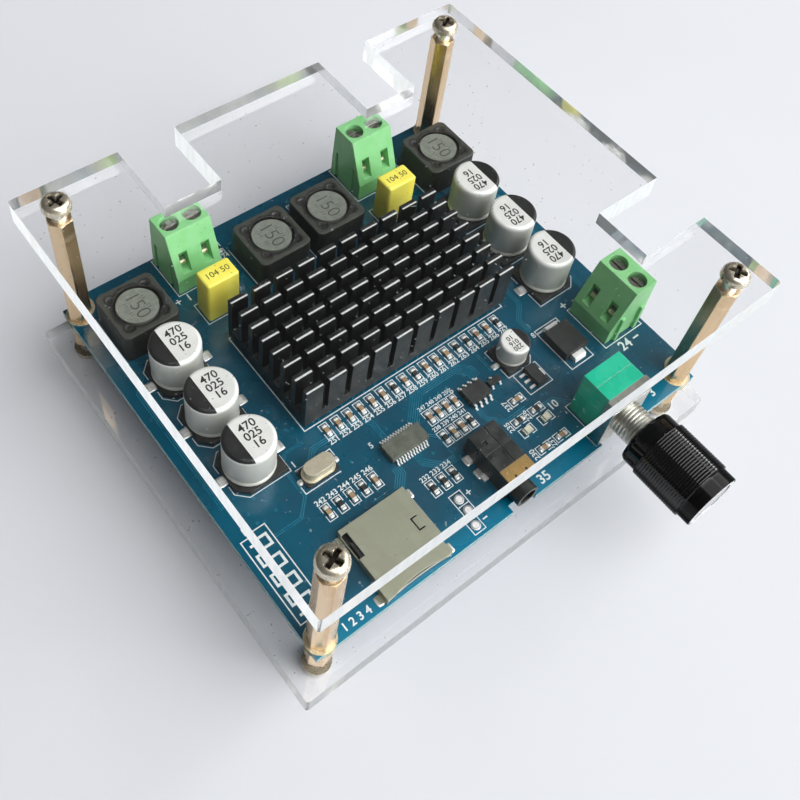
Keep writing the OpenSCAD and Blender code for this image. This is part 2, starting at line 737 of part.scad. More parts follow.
module chip_resistors() {
  color(black) place() chip_spots("r") block(chip_w, chip_l - 0.6, chip_t);
}
module chip_capacitors() {
  color([0.66, 0.5, 0.36]) place() chip_spots("c") block(chip_w, chip_l - 0.6, chip_t);
}
module indicator_leds() {
  color([0.85, 0.84, 0.76]) place()
    for (x = led_x)
      translate([x, led_y, 0]) {
        block(2, 1.25, 0.4);
        translate([0, 0, 0.4]) block(1.3, 1.25, 0.4);
      }
}

// Volume control: two-section body behind a bushing plate, shaft and pushed-on knob

module pot_body() {
  color([0.13, 0.72, 0.56]) place() translate([pot_x - pot_w / 2, pot_y0 + pot_plate_t, 0]) difference() {
    cube([pot_w, 2 * gang_d, pot_h]);
    translate([-1, gang_d - 0.06, pot_h - 0.12]) cube([pot_w + 2, 0.12, 1]);
    translate([pot_w / 2, -eps, shaft_z]) rotate([-90, 0, 0]) cylinder(h = 2, d = shaft_d + 2 * run_gap);
  }
}

module pot_front_plate() {
  color(nickel) place() translate([pot_x, pot_y0, 0]) difference() {
    union() {
      translate([-pot_w / 2 - 0.5, 0, 0]) cube([pot_w + 1, pot_plate_t, pot_h]);
      translate([0, eps, shaft_z]) rotate([90, 0, 0]) cylinder(h = bush_len, d = bush_d);
    }
    translate([0, pot_plate_t + 1, shaft_z]) rotate([90, 0, 0])
      cylinder(h = bush_len + pot_plate_t + 2, d = shaft_d + 2 * run_gap);
  }
}

shaft_len = 2 + pot_plate_t + bush_len + knob_gap + knob_len * 0.7;

module pot_shaft() {
  color(nickel) place() translate([pot_x, pot_y0 + pot_plate_t + 1.9, shaft_z]) rotate([90, 0, 0])
    cylinder(h = shaft_len - 0.1, d = shaft_d);
}

// turned knob: rear collar, wider grip band, front collar with a dished face
module volume_knob() {
  grip_0 = knob_len * 0.21;
  grip_1 = knob_len * 0.84;
  color(black) place() translate([pot_x, knob_back, shaft_z]) rotate([90, 0, 0]) difference() {
    rotate_extrude() polygon([[0, 0], [knob_d / 2 - 0.8, 0], [knob_d / 2, 0.8], [knob_d / 2, grip_0],
                              [grip_d / 2 - 0.15, grip_0], [grip_d / 2, grip_0 + 0.15],
                              [grip_d / 2, grip_1 - 0.15], [grip_d / 2 - 0.15, grip_1],
                              [knob_d / 2, grip_1], [knob_d / 2, knob_len], [0, knob_len]]);
    translate([0, 0, -eps]) cylinder(h = knob_len * 0.7 + eps, d = shaft_d + 0.04);
    translate([0, 0, knob_len - 0.5]) cylinder(h = 1, d = knob_d - 0.76);
  }
}

module knob_face() {
  color([0.9, 0.9, 0.9]) place() translate([pot_x, knob_front + 0.5, shaft_z]) rotate([90, 0, 0])
    rotate_extrude() polygon([[0, 0], [knob_d / 2 - 0.4, 0], [knob_d / 2 - 0.4, 0.5], [knob_d / 2 - 1, 0.5],
                              [knob_d / 2 - 1.5, 0.25], [0, 0.25]]);
}

// Audio jack: moulded body with a round nose, formed metal cover at the front

jack_y0 = 3;
nose_z = jack_h / 2;
mould_line = 0.18;
tab = [1, 1.3, 0.5];
jack_tabs = [[-1, 0.42], [-1, 0.82], [1, 0.5], [1, 0.9]];

module jack_body() {
  color(black) place() translate([jack_x, 0, 0]) difference() {
    union() {
      translate([-jack_w / 2, jack_y0, 0]) cube([jack_w, jack_l, jack_h - 0.3]);
      translate([-jack_w / 2, jack_y0 + 2.5, 0]) cube([jack_w, jack_l - 2.5, jack_h]);
      translate([0, jack_y0 + eps, nose_z]) rotate([90, 0, 0]) cylinder(h = jack_y0, d = nose_d);
    }
    translate([0, jack_y0 + jack_l - 1.2, nose_z]) rotate([90, 0, 0]) cylinder(h = jack_l + 10, d = plug_d);
    translate([-jack_w / 2 + 1.2, jack_y0 + jack_l - 3.3, jack_h - 0.3]) cube([1, 1, 1]);
    translate([0.5, jack_y0 + 2.5 - eps, jack_h - mould_line]) cube([mould_line, jack_l - 2.5, 1]);
    translate([-jack_w / 2 - eps, jack_y0 + jack_l * 0.55, jack_h - mould_line])
      cube([jack_w + 1, mould_line, 1]);
  }
}

module jack_cover() {
  color([0.72, 0.6, 0.38]) place() translate([jack_x - jack_w / 2, jack_y0, jack_h - 0.3]) difference() {
    cube([jack_w, 2.5, 0.3]);
    for (x = [0.28, 0.68])
      translate([jack_w * x, -eps, -eps]) cube([0.35, 0.6, 1]);
  }
}

// Memory card socket: folded shield over a moulded base, with a push-in card slider

slider_l = 3;
mouth_scoop = 0.7;
ear = [0.9, 1.5, 0.3];
ear_y = [0.04, 0.86];

module card_shield() {
  window = slider_travel + slider_l + 0.4;
  mouth_r = card_w * 1.6;
  color(nickel) place() translate([card_x - card_w / 2, card_y0, 0]) {
    difference() {
      cube([card_w, card_d, card_h]);
      translate([shield_t, -1, -eps])
        cube([card_w - 2 * shield_t, card_d - shield_t + 1, card_h - shield_t + eps]);
      translate([-1, card_d - 1 - window, 0.9]) cube([2.2, window, card_h]);
      translate([card_w / 2, mouth_scoop - mouth_r, card_h / 2]) cylinder(h = card_h, r = mouth_r);
      card_spring();
    }
    for (x = [-ear[0], card_w])
      for (y = ear_y)
        translate([x, card_d * y, 0]) cube(ear);
  }
}

// slot round three sides of a spring tongue in the shield's roof
module card_spring() {
  tongue = [1.1, 2.2];
  gap = 0.3;
  translate([card_w - 2.9, card_d * 0.42, card_h - 1]) linear_extrude(2) difference() {
    square([tongue[0] + gap, tongue[1] + 2 * gap]);
    translate([gap, gap]) square([tongue[0] + 1, tongue[1]]);
  }
}

module card_base() {
  color(black) place() translate([card_x - card_w / 2 + shield_t, card_y0 + 0.5, 0]) {
    cube([card_w - 2 * shield_t, card_d - shield_t - 0.5, 0.45]);
    translate([3.2, card_d - 2.2, 0]) cube([card_w - 3.2 - 2 * shield_t, 1.5, card_h - shield_t]);
  }
}

module card_slider() {
  color([0.12, 0.12, 0.12]) place()
    translate([card_x - card_w / 2 + shield_t + 0.3, card_y0 + card_d - 1.2 - slider_travel - slider_l, 0.5])
      linear_extrude(card_h - shield_t - 0.7) {
        square([1.2, slider_l]);
        square([2.4, 0.9]);
      }
}

bottom_plate();
top_plate();
lower_standoffs();
upper_standoffs();
bottom_screws();
top_screws();
circuit_board();
heatsink();
amplifier_chip();
filter_capacitor_1();
filter_capacitor_2();
filter_capacitor_3();
filter_capacitor_4();
filter_capacitor_5();
filter_capacitor_6();
small_capacitor();
part_bases();
inductor_1();
inductor_2();
inductor_3();
inductor_4();
inductor_cores();
film_capacitor_1();
film_capacitor_2();
terminal_housing_1();
terminal_housing_2();
terminal_housing_3();
terminal_screw_1();
terminal_screw_2();
terminal_screw_3();
terminal_screw_4();
terminal_screw_5();
terminal_screw_6();
wire_clamp_1();
wire_clamp_2();
wire_clamp_3();
wire_clamp_4();
wire_clamp_5();
wire_clamp_6();
terminal_contacts();
rectifier_diode();
regulator();
transistor();
preamp_chip();
decoder_chip();
crystal();
component_leads();
chip_resistors();
chip_capacitors();
indicator_leds();
pot_body();
pot_front_plate();
pot_shaft();
volume_knob();
knob_face();
jack_body();
jack_cover();
card_shield();
card_base();
card_slider();
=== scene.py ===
import math

import bmesh
import bpy
import numpy as np
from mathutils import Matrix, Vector


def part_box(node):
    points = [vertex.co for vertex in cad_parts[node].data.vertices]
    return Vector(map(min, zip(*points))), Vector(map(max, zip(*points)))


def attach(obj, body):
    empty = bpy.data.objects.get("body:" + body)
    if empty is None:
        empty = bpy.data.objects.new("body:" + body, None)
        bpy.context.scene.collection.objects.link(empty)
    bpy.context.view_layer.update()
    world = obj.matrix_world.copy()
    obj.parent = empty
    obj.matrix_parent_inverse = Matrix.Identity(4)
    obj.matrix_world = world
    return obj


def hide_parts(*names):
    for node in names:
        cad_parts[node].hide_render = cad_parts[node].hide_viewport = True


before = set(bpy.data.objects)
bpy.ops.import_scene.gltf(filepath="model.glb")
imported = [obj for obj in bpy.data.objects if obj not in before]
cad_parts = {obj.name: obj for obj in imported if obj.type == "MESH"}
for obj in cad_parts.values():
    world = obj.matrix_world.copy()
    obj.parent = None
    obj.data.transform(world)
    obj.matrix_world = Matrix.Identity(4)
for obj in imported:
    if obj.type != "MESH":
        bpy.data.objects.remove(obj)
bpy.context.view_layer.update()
scene = bpy.context.scene
print("frame loaded,", len(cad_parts), "nodes")

# board frame: millimetres from the board's front left corner, z = 0 on its upper face
boardLow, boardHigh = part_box("circuit_board")
boardCorner = np.array([boardLow.x, boardLow.y, boardHigh.z])
mm = 0.001


def toRow(points):
    # board millimetres to metres in the part's frame: scale, then shift by the board's corner
    return np.asarray(points, float) * mm + boardCorner


def nodeBox(name):
    # a CAD node's lowest and highest corner in board millimetres
    low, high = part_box(name)
    return (np.array(low) - boardCorner) / mm, (np.array(high) - boardCorner) / mm


def nodeMid(name):
    low, high = nodeBox(name)
    return (low + high) / 2


def solidBoxes(name):
    # boxes of the separate solids in a CAD node: the smallest point number spreads along the triangles of each solid
    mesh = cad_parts[name].data
    flat = np.empty(len(mesh.vertices) * 3)
    mesh.vertices.foreach_get("co", flat)
    points = (flat.reshape(-1, 3) - boardCorner) / mm
    corners = np.empty(len(mesh.loops), np.int32)
    mesh.loops.foreach_get("vertex_index", corners)
    same = np.unique(np.round(points, 3), axis=0, return_inverse=True)[1].ravel()
    triangles = same[corners.reshape(-1, 3)]
    label = np.arange(same.max() + 1)
    for turn in range(200):
        before = label.copy()
        np.minimum.at(label, triangles.ravel(), np.repeat(label[triangles].min(1), 3))
        if (before == label).all():
            break
    own = label[same]
    return [(points[own == k].min(0), points[own == k].max(0)) for k in np.unique(own)]


# shapes: each is (points in board millimetres, faces as lists of point numbers)

def gridFaces(rows, cols, wrapRows=False, wrapCols=False):
    # one quad between each four neighbours of a grid that is numbered row by row
    i = np.arange(rows if wrapRows else rows - 1)[:, None]
    j = np.arange(cols if wrapCols else cols - 1)[None, :]
    i2, j2 = (i + 1) % rows, (j + 1) % cols
    return np.stack([i * cols + j, i * cols + j2, i2 * cols + j2, i2 * cols + j], -1).reshape(-1, 4).tolist()


def lidded(points, sides):
    # rings of points one above the other, joined by quads, with a flat lid on the first and the last ring
    rows = len(points) // sides
    last = (rows - 1) * sides
    lids = [list(range(sides)), list(range(last, last + sides))]
    return points, gridFaces(rows, sides, wrapCols=True) + lids


def carried(profile, sides):
    # radius r and height z along a profile, carried round the z axis: x = r cos a, y = r sin a
    r, z = np.asarray(profile, float).T
    a = np.linspace(0, 2 * np.pi, sides, endpoint=False)
    x, y = r[:, None] * np.cos(a), r[:, None] * np.sin(a)
    return np.stack([x, y, np.repeat(z[:, None], sides, 1)], -1).reshape(-1, 3)


def turned(profile, sides):
    # an open profile carried round z, closed by a lid at each end
    return lidded(carried(profile, sides), sides)


def closedTurn(section, sides):
    # a closed section carried round z, so that it ends where it began both ways
    return carried(section, sides), gridFaces(len(section), sides, True, True)


def ringShape(inner, outer, thick, sides):
    # a flat ring with a four-cornered section
    return closedTurn([(inner, 0), (outer, 0), (outer, thick), (inner, thick)], sides)


def threaded(radius, depth, pitch, length, sides, perTurn):
    # a screw thread: r = radius - depth x triangle wave of (height / pitch - angle / full turn)
    rows = int(length / pitch * perTurn) + 1
    z, a = np.meshgrid(np.linspace(0, length, rows), np.linspace(0, 2 * np.pi, sides, endpoint=False), indexing="ij")
    wave = np.abs(((z / pitch - a / (2 * np.pi)) % 1) * 2 - 1)
    r = radius - depth * wave
    return lidded(np.stack([r * np.cos(a), r * np.sin(a), z], -1).reshape(-1, 3), sides)


def roundOutline(width, depth, corner, inset, perCorner):
    # rounded rectangle: four quarter circles about the corner centres, drawn in by the inset
    a = np.linspace(0, np.pi / 2, perCorner)
    angle = np.concatenate([a + k * np.pi / 2 for k in range(4)])
    sx = np.repeat([1, -1, -1, 1], perCorner) * (width / 2 - corner)
    sy = np.repeat([1, 1, -1, -1], perCorner) * (depth / 2 - corner)
    r = corner - inset
    return np.stack([sx + r * np.cos(angle), sy + r * np.sin(angle)], -1)


def softBlock(low, high, corner, topRound, perCorner=6, steps=5):
    # rounded rectangle carried upwards; over the last stretch it draws in by 1 - cos t while it climbs by sin t
    low, high = np.asarray(low, float), np.asarray(high, float)
    size, mid = high - low, (low + high) / 2
    t = np.linspace(0, np.pi / 2, steps)
    inset = np.concatenate([[0], topRound * (1 - np.cos(t))])
    height = np.concatenate([[low[2]], high[2] - topRound + topRound * np.sin(t)])
    rings = [np.column_stack([roundOutline(size[0], size[1], corner, d, perCorner) + mid[:2],
                              np.full(4 * perCorner, z)]) for d, z in zip(inset, height)]
    return lidded(np.vstack(rings), 4 * perCorner)


def lump(at, size, sides=12, rings=4, square=0.6):
    # low solder lump: superellipse outline x = a |cos|^s, y = b |sin|^s, shrinking with the height's cosine
    a = np.linspace(0, 2 * np.pi, sides, endpoint=False)
    x = np.sign(np.cos(a)) * np.abs(np.cos(a)) ** square
    y = np.sign(np.sin(a)) * np.abs(np.sin(a)) ** square
    t = np.linspace(0, np.pi / 2 * 0.92, rings)
    points = np.stack([np.cos(t)[:, None] ** 0.6 * x * size[0] / 2, np.cos(t)[:, None] ** 0.6 * y * size[1] / 2,
                       np.repeat(np.sin(t)[:, None] * size[2], sides, 1)], -1).reshape(-1, 3)
    return lidded(points + np.asarray(at, float), sides)


def mitres(p, closed=False):
    # the way to the left at each corner of a path, from the normals of its two runs: m = (n1 + n2) / ((n1 + n2) . n2)
    run = np.diff(np.vstack([p, p[:1]]) if closed else p, axis=0)
    run /= np.linalg.norm(run, axis=1, keepdims=True)
    side = np.stack([-run[:, 1], run[:, 0]], 1)
    before = np.roll(side, 1, 0) if closed else np.vstack([side[:1], side])
    after = side if closed else np.vstack([side, side[-1:]])
    mitre = before + after
    return mitre / (mitre * after).sum(1, keepdims=True)


def ribbon(path, width, low, high):
    # a flat strip along straight runs: each corner moves to both sides along its mitre
    p = np.asarray(path, float)
    closed = len(p) > 2 and np.allclose(p[0], p[-1])
    p = p[:-1] if closed else p
    shift = mitres(p, closed) * width / 2
    left, right = p + shift, p - shift
    ring = np.stack([np.column_stack([edge, np.full(len(p), z)]) for edge, z in
                     ((left, high), (right, high), (right, low), (left, low))], 1)
    faces = gridFaces(len(p), 4, closed, True)
    if not closed:
        faces += [[0, 1, 2, 3], [4 * len(p) - 4 + k for k in range(4)]]
    return ring.reshape(-1, 3), faces


def beside(path, shift):
    # a path moved sideways by a set distance, along its mitres
    p = np.asarray(path, float)
    return p + mitres(p) * shift


def moved(shape, at=(0, 0, 0), turn=0.0):
    # turned about z by an angle in degrees, then shifted
    points, faces = shape
    c, s = math.cos(math.radians(turn)), math.sin(math.radians(turn))
    return points @ np.array([[c, s, 0], [-s, c, 0], [0, 0, 1]]) + np.asarray(at, float), faces


def laidAlongY(shape, at):
    # a shape made about z is laid down so that its height runs to the front, along -y
    points, faces = shape
    return np.stack([points[:, 0], -points[:, 2], points[:, 1]], -1) + np.asarray(at, float), faces


wordsMade = {}


def lettering(text, height, at, turn=0.0, weight=0.0, thick=0.014):
    # filled digits of Blender's own font with a little thickness, centred, turned about z and set at a point
    if (text, weight) not in wordsMade:
        curve = bpy.data.curves.new("digits", "FONT")
        curve.body, curve.align_x, curve.align_y = text, "CENTER", "CENTER"
        curve.resolution_u, curve.extrude, curve.size, curve.offset = 3, 0.5, 1.0, weight
        holder = bpy.data.objects.new("digits", curve)
        scene.collection.objects.link(holder)
        mesh = bpy.data.meshes.new_from_object(holder.evaluated_get(bpy.context.evaluated_depsgraph_get()))
        flat = np.empty(len(mesh.vertices) * 3)
        mesh.vertices.foreach_get("co", flat)
        wordsMade[text, weight] = flat.reshape(-1, 3), [list(f.vertices) for f in mesh.polygons]
        bpy.data.objects.remove(holder)
        bpy.data.curves.remove(curve)
        bpy.data.meshes.remove(mesh)
    points, faces = wordsMade[text, weight]
    scaled = points * np.array([height / 0.7, height / 0.7, thick]) + np.array([0, 0, thick / 2])
    return moved((scaled, faces), at, turn)


def makePiece(name, parts, body, stands=(), smooth=35):
    # parts are (shape, finish); they become one closed mesh with its doubles merged and its faces turned outwards
    points, faces, numbers, start = [], [], [], 0
    used = list(dict.fromkeys(finish for shape, finish in parts))
    for (shapePoints, shapeFaces), finish in parts:
        points.append(shapePoints)
        faces += [[k + start for k in f] for f in shapeFaces]
        numbers += [used.index(finish)] * len(shapeFaces)
        start += len(shapePoints)
    mesh = bpy.data.meshes.new(name)
    mesh.from_pydata(toRow(np.vstack(points)), [], faces)
    mesh.polygons.foreach_set("material_index", np.array(numbers, np.int32))
    for finish in used:
        mesh.materials.append(skin[finish])
    shell = bmesh.new()
    shell.from_mesh(mesh)
    bmesh.ops.remove_doubles(shell, verts=shell.verts, dist=1e-8)
    bmesh.ops.delete(shell, geom=[v for v in shell.verts if not v.link_faces], context="VERTS")
    bmesh.ops.recalc_face_normals(shell, faces=shell.faces)
    shell.to_mesh(mesh)
    shell.free()
    mesh.polygons.foreach_set("use_smooth", np.ones(len(mesh.polygons), bool))
    mesh.set_sharp_from_angle(angle=math.radians(smooth))
    piece = bpy.data.objects.new(name, mesh)
    scene.collection.objects.link(piece)
    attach(piece, body)
    if stands:
        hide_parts(*stands)
    return piece


# finishes

def tone(r, g, b):
    # display colour 0-255 to linear light
    c = np.array([r, g, b]) / 255
    return (*np.where(c <= 0.04045, c / 12.92, ((c + 0.055) / 1.055) ** 2.4), 1.0)


def feed(tree, node, inputs):
    # each input takes a socket as a link and anything else as its constant
    for key, value in inputs.items():
        if isinstance(value, bpy.types.NodeSocket):
            tree.links.new(value, node.inputs[key])
        else:
            node.inputs[key].default_value = value


def addNode(tree, kind, inputs=None, **settings):
    node = tree.nodes.new("ShaderNode" + kind)
    for key, value in settings.items():
        setattr(node, key, value)
    feed(tree, node, inputs or {})
    return node


def mixColours(tree, share, first, second):
    # colour mix by a share from 0 to 1; either side is a colour or a socket
    return addNode(tree, "Mix", {0: share, 6: first, 7: second}, data_type="RGBA").outputs[2]


def spread(tree, value, low, high, first=0.0, last=1.0):
    # smooth step of a value between two limits
    limits = {"Value": value, "From Min": low, "From Max": high, "To Min": first, "To Max": last}
    return addNode(tree, "MapRange", limits, interpolation_type="SMOOTHSTEP").outputs["Result"]


def calc(tree, operation, first, second=0.0):
    return addNode(tree, "Math", {0: first, 1: second}, operation=operation).outputs[0]


def axisOf(tree, vector, axis):
    return addNode(tree, "SeparateXYZ", {"Vector": vector}).outputs[axis]


def overlay(tree, shader, share, colour):
    # lays a colour or a socket over the shader's own base colour, by a share from 0 to 1
    base = shader.inputs["Base Color"]
    tree.links.new(mixColours(tree, share, base.links[0].from_socket, colour), base)


def noise(tree, place, scale, detail=3.0, stretch=None):
    # noise of a given number of grains per metre, stretched along an axis where the finish is drawn or brushed
    if stretch:
        place = addNode(tree, "Mapping", {"Vector": place, "Scale": stretch}).outputs["Vector"]
    return addNode(tree, "TexNoise", {"Vector": place, "Scale": scale, "Detail": detail}).outputs["Fac"]


def edgeShare(tree, radius):
    # 0 on flats and 1 on edges: how far the rounded normal leans away from the face's own
    soft = addNode(tree, "Bevel", {"Radius": radius * mm}, samples=4).outputs["Normal"]
    own = addNode(tree, "NewGeometry").outputs["Normal"]
    lean = addNode(tree, "VectorMath", {0: soft, 1: own}, operation="DOT_PRODUCT").outputs["Value"]
    return soft, spread(tree, lean, 0.995, 0.8)


def newMaterial(name):
    material = bpy.data.materials.new(name)
    material.use_nodes = True
    tree = material.node_tree
    return material, tree, tree.nodes["Principled BSDF"], addNode(tree, "TexCoord").outputs["Object"]


def finishOf(name, look):
    # moulded, plated or sintered surface: two tones in blotches, specks, lighter edges (partly wear, partly painted
    # highlight), uneven gloss and fine bumps
    material, tree, shader, place = newMaterial(name)
    blotch = noise(tree, place, look["blotch"], 4.0, look.get("stretch"))
    grain = noise(tree, place, look.get("grain", 5000), 2.0, look.get("stretch"))
    colour = mixColours(tree, spread(tree, blotch, 0.32, 0.68), tone(*look["colour"]), tone(*look["second"]))
    if "speck" in look:
        dots = noise(tree, place, look.get("speckSize", 2600), 1.0)
        onDot = spread(tree, dots, look["speckFrom"], look["speckFrom"] + 0.04)
        colour = mixColours(tree, onDot, colour, tone(*look["speck"]))
    relief = {"Height": grain, "Strength": look.get("bump", 0.15), "Distance": look.get("depth", 0.02) * mm}
    if "edge" in look:
        relief["Normal"], onEdge = edgeShare(tree, look["edge"])
        # lighter edges: partly wear and partly a painted highlight along every edge
        if "wear" in look:
            bare = calc(tree, "MULTIPLY", onEdge, look.get("wearShare", 0.5))
            colour = mixColours(tree, bare, colour, tone(*look["wear"]))
    feed(tree, shader, {
        "Base Color": colour, "Roughness": spread(tree, blotch, 0.25, 0.75, *look["rough"]),
        "Normal": addNode(tree, "Bump", relief).outputs["Normal"], "Metallic": look.get("metal", 0.0),
        "Specular IOR Level": look.get("specular", 0.5), "Coat Weight": look.get("coat", 0.0),
        "Coat Roughness": look.get("coatRough", 0.1)})
    return material, tree, shader, place


def tones(colour, second, blotch, rough, **more):
    # a finish's two tones, its blotches per metre, its roughness from and to, and what else it has
    return dict(more, colour=colour, second=second, blotch=blotch, rough=rough)


finishes = {
    "standoffBrass": tones((240, 213, 176), (226, 192, 148), 260, (0.2, 0.34), grain=2500, stretch=(1.0, 1.0, 0.12),
                           metal=1.0, bump=0.08, edge=0.2, wear=(240, 228, 204), wearShare=0.6),
    "screwNickel": tones((222, 214, 196), (196, 186, 164), 900, (0.2, 0.34), metal=0.8, bump=0.1, grain=6000),
    "paintedRecessShade": tones((60, 56, 48), (40, 37, 32), 1500, (0.3, 0.45), metal=0.7, bump=0.1),
    "clampNickel": tones((164, 163, 154), (128, 126, 116), 900, (0.25, 0.42), metal=1.0, bump=0.1, edge=0.12,
                         wear=(225, 224, 218)),
    "heatsinkBlack": tones((15, 17, 16), (24, 27, 26), 500, (0.28, 0.42), grain=3000, bump=0.12, edge=0.12,
                           wear=(92, 96, 94), wearShare=0.45, speck=(120, 124, 120), speckSize=1700, speckFrom=0.73,
                           specular=0.6),
    "finBareAndHighlight": tones((240, 242, 240), (214, 217, 215), 900, (0.3, 0.45), metal=0.3, bump=0.1),
    "blackEpoxy": tones((28, 30, 29), (40, 42, 40), 700, (0.45, 0.6), grain=9000, bump=0.3, edge=0.12,
                        wear=(82, 84, 80), speck=(105, 106, 100), speckFrom=0.74),
    "greyEpoxy": tones((78, 82, 72), (94, 98, 86), 700, (0.45, 0.6), grain=9000, bump=0.3, edge=0.1,
                       wear=(140, 142, 130)),
    "baseBlack": tones((30, 30, 29), (42, 42, 40), 600, (0.4, 0.55), bump=0.2, edge=0.1, wear=(80, 80, 78)),
    "terminalGreen": tones((132, 204, 134), (143, 210, 146), 300, (0.36, 0.48), grain=7000, bump=0.18, edge=0.22,
                           wear=(166, 222, 168), wearShare=0.55),
    "coreFerrite": tones((112, 118, 109), (126, 131, 122), 900, (0.5, 0.66), grain=5000, bump=0.35, edge=0.15,
                         wear=(140, 143, 136), speck=(150, 152, 148), speckSize=2100, speckFrom=0.72),
    "solderTin": tones((228, 229, 226), (196, 197, 194), 1300, (0.24, 0.42), grain=3500, metal=0.6, bump=0.3,
                       depth=0.04),
    "leadTin": tones((246, 246, 244), (224, 225, 222), 1500, (0.26, 0.4), grain=3500, metal=0.2, bump=0.15),
    "leadBright": tones((250, 250, 248), (236, 237, 235), 1200, (0.3, 0.42), grain=3500, metal=0.1, bump=0.1,
                        edge=0.1, wear=(255, 255, 255)),
    "padTin": tones((188, 190, 192), (158, 160, 166), 1300, (0.34, 0.5), grain=3500, metal=0.5, bump=0.3, depth=0.03),
    "tanCeramic": tones((168, 140, 106), (142, 116, 86), 1500, (0.5, 0.62), bump=0.2, edge=0.06,
                        wear=(205, 178, 146)),
    "resistorBlack": tones((36, 36, 34), (56, 55, 50), 1600, (0.3, 0.45), bump=0.1),
    "ledResin": tones((226, 224, 206), (206, 206, 182), 1500, (0.25, 0.36), bump=0.05),
    # the pot's pale edges are mostly a painted highlight
    "potTeal": tones((16, 186, 146), (20, 194, 154), 260, (0.22, 0.34), grain=6000, bump=0.08, edge=0.16,
                     wear=(196, 242, 228), wearShare=0.7),
    "plateNickel": tones((198, 198, 190), (168, 168, 158), 500, (0.25, 0.4), metal=1.0, bump=0.1, edge=0.15,
                         wear=(230, 230, 226)),
    "crystalCan": tones((214, 206, 182), (196, 188, 164), 700, (0.28, 0.4), metal=0.55, bump=0.1, edge=0.2,
                        wear=(238, 234, 220)),
    "shieldNickel": tones((174, 176, 156), (156, 158, 138), 160, (0.34, 0.48), grain=3000, stretch=(1.0, 0.15, 1.0),
                          metal=0.7, bump=0.12, edge=0.12, wear=(205, 206, 196), wearShare=0.6),
    "jackBlack": tones((26, 29, 28), (40, 44, 41), 420, (0.26, 0.46), grain=4000, bump=0.25, edge=0.16,
                       wear=(110, 112, 106), speck=(120, 122, 116), speckFrom=0.73),
    "coverGold": tones((206, 172, 112), (186, 150, 92), 800, (0.28, 0.42), metal=0.9, bump=0.1, edge=0.08,
                       wear=(236, 214, 168)),
    "knobBlack": tones((12, 12, 12), (18, 18, 18), 500, (0.07, 0.13), grain=6000, stretch=(1.0, 8.0, 1.0), bump=0.03,
                       specular=0.5),
    "mirrorChrome": tones((196, 198, 200), (172, 174, 177), 300, (0.05, 0.1), metal=1.0, bump=0.02),
    "ringWhite": tones((246, 246, 246), (236, 236, 238), 700, (0.12, 0.2), metal=0.55, bump=0.02),
    "padCream": tones((226, 216, 190), (205, 192, 160), 1200, (0.25, 0.4), metal=0.6, bump=0.2),
    "inkWhite": tones((226, 232, 232), (206, 214, 214), 1800, (0.5, 0.62), bump=0.1),
    "inkBlack": tones((24, 24, 24), (34, 34, 33), 1500, (0.45, 0.6), bump=0.1),
    "stampGrey": tones((58, 60, 56), (76, 78, 73), 2500, (0.5, 0.65), bump=0.3),
    "traceBlue": tones((16, 100, 124), (24, 112, 136), 300, (0.24, 0.36), bump=0.1, coat=0.3),
    "solderMask": tones((2, 80, 103), (1, 66, 87), 90, (0.22, 0.34), grain=2500, bump=0.06, coat=0.35,
                        coatRough=0.12),
    "canAluminium": tones((240, 241, 237), (228, 229, 225), 220, (0.34, 0.46), grain=4000, bump=0.05,
                          stretch=(1.0, 1.0, 0.3)),
    "shieldFerrite": tones((30, 32, 28), (42, 43, 38), 500, (0.45, 0.6), grain=4500, bump=0.4, edge=0.2,
                           wear=(104, 104, 98), speck=(130, 130, 124), speckFrom=0.73),
    "filmYellow": tones((255, 247, 108), (248, 234, 92), 200, (0.28, 0.4), grain=3500, bump=0.1, speck=(96, 78, 22),
                        speckSize=1500, speckFrom=0.76),
    "paperFloor": tones((218, 220, 225), (215, 217, 222), 9, (0.75, 0.9), grain=700, bump=0.04, specular=0.2),
}
made = {name: finishOf(name, look) for name, look in finishes.items()}
skin = {name: parts[0] for name, parts in made.items()}

knobGloss = {"fade": (0.32, 0.54), "level": (0.5, 0.02), "collar": 0.3, "collarEnd": (0.13, 0.19)}


def knobFinish(look):
    # black anodised metal: the gloss fades where the surface turns away, so that the rim stays dark, and on the collar
    material, tree, shader, place = made["knobBlack"]
    away = addNode(tree, "LayerWeight", {"Blend": 0.5}).outputs["Facing"]
    low, high = nodeBox("volume_knob")
    collarEnd = [toRow([0, low[1] + share * (high[1] - low[1]), 0])[1] for share in look["collarEnd"]]
    onCollar = spread(tree, axisOf(tree, place, "Y"), *collarEnd, look["collar"], 1.0)
    gloss = calc(tree, "MULTIPLY", spread(tree, away, *look["fade"], *look["level"]), onCollar)
    feed(tree, shader, {"Specular IOR Level": gloss})


knobFinish(knobGloss)

# the front colour and its depth: painted light that lightens the mask along the board's front edge
laminateLook = {"front": (0, 108, 138), "paintedLightDepth": 7.0, "rim": (28, 136, 156), "core": (112, 150, 134),
                "layer": (0.4, 0.25), "fibre": (0.45, 0.9)}


